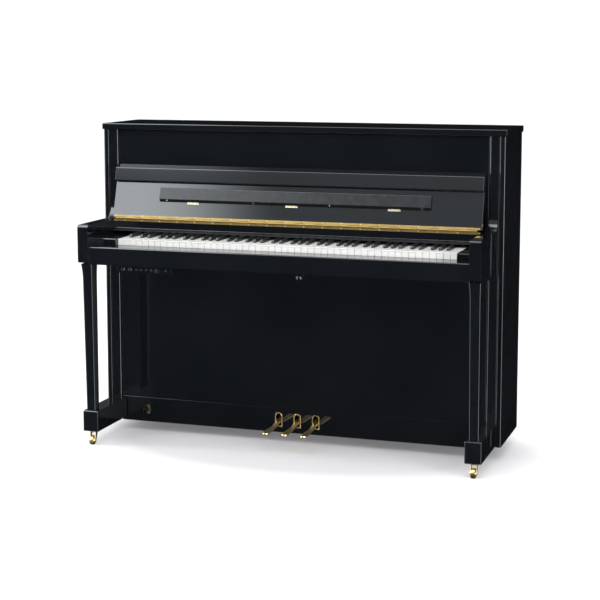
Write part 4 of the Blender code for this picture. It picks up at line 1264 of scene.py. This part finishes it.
def make_world():
    """White walls for the camera, even light for matt surfaces, and a dark room for what mirrors it:
    a broad soft screen on the player's left, a soft ceiling, and an upright strip on each side."""
    world = bpy.data.worlds.new("studio")
    world.use_nodes = True
    tree = world.node_tree
    plain = tree.nodes["Background"]
    plain.inputs["Color"].default_value = (1.0, 1.0, 1.0, 1.0)
    plain.inputs["Strength"].default_value = 1.08
    way = add_node(tree, "TexCoord", {}, "Generated")
    across = add_node(tree, "SeparateXYZ", {"Vector": way}, "X").node.outputs

    def step(socket, start, end, low, high):
        inputs = {"Value": across[socket], "From Min": start, "From Max": end, "To Min": low, "To Max": high}
        return add_node(tree, "MapRange", inputs, "Result", interpolation_type="SMOOTHSTEP")

    def times(one, two):
        return add_node(tree, "Math", {0: one, 1: two}, "Value", operation="MULTIPLY")

    def plus(one, two):
        return add_node(tree, "Math", {0: one, 1: two}, "Value", operation="ADD")

    room_glow = step("Y", 0.15, -0.25, 0.008, 0.045)
    hemisphere = step("Y", 0.3, -0.3, 0.30, 1.0)
    ceiling = times(hemisphere, step("Z", 0.12, 0.34, 0.0, 0.58))
    left_side = times(step("X", -0.325, -0.41, 0.0, 6.1), step("Z", 0.26, 0.40, 0.0, 1.0))
    screen = plus(ceiling, times(hemisphere, left_side))
    right_strip = times(step("X", 0.36, 0.56, 0.0, 5.0), step("X", 0.88, 0.78, 0.0, 1.0))
    left_strip = times(step("X", -0.58, -0.72, 0.0, 4.0), step("X", -0.94, -0.86, 0.0, 1.0))
    strips = times(plus(right_strip, left_strip), step("Y", 0.05, -0.15, 0.0, 1.0))
    strength = plus(plus(room_glow, screen), strips)
    cool = (0.90, 0.97, 1.0, 1.0)
    room = add_node(tree, "Background", {"Color": cool, "Strength": strength}, "Background")
    glossy = add_node(tree, "LightPath", {}, "Is Glossy Ray")
    mix = add_node(tree, "MixShader", {"Fac": glossy, 1: plain.outputs["Background"], 2: room}, "Shader")
    tree.links.new(mix, tree.nodes["World Output"].inputs["Surface"])
    bpy.context.scene.world = world


def add_light(name, place_at, aim, size, power):
    """A soft rectangular lamp that the camera doesn't see."""
    lamp = bpy.data.lights.new(name, "AREA")
    lamp.shape = "RECTANGLE"
    lamp.size = size[0]
    lamp.size_y = size[1]
    lamp.energy = power
    obj = bpy.data.objects.new(name, lamp)
    obj.location = place_at
    obj.rotation_euler = (Vector(aim) - Vector(place_at)).to_track_quat("-Z", "Y").to_euler()
    obj.visible_camera = False
    bpy.context.scene.collection.objects.link(obj)


def make_lights():
    """A lamp overhead and a tall strip on each side, for the bright lines along the edges."""
    add_light("overhead", (0.0, -1.2, 3.4), (0.0, 0.0, 0.9), (3.0, 1.4), 60.0)
    add_light("strip_left", (-3.4, -1.0, 1.3), (0.0, 0.0, 0.7), (0.7, 2.4), 55.0)
    add_light("strip_right", (3.6, -2.2, 1.3), (0.4, 0.0, 0.7), (0.6, 2.4), 45.0)


def make_camera():
    """The photograph's view: from the player's right, a little above the lid."""
    camera = bpy.data.cameras.new("camera")
    camera.sensor_width = 36.0
    camera.lens = 90.53
    camera.shift_y = -0.1
    camera.dof.use_dof = False
    obj = bpy.data.objects.new("camera", camera)
    obj.location = (1.6667, -5.0380, 1.4088)
    yaw = 0.3181
    pitch = -0.1260
    obj.rotation_euler = (math.pi / 2 + pitch, 0.0, yaw)
    bpy.context.scene.collection.objects.link(obj)
    bpy.context.scene.camera = obj


def main():
    """Build every part, then the stage."""
    for name in ("left", "right"):
        make_side(name)
        make_arm(name)
        make_leg(name)
        make_toe(name)
        make_block(name)
        make_caster(name)
        make_roller(name)
    make_lid()
    make_panels()
    make_slip()
    make_nameboard()
    make_fallboard()
    make_hinge()
    make_shelf()
    make_keys()
    make_pedals()
    make_back()
    make_soundboard()
    make_strung_back()
    make_hammers()
    make_dampers()
    make_control_box()
    make_mute_knob()
    make_floor()
    make_world()
    make_lights()
    make_camera()
    bpy.context.scene.view_settings.view_transform = "Standard"


main()
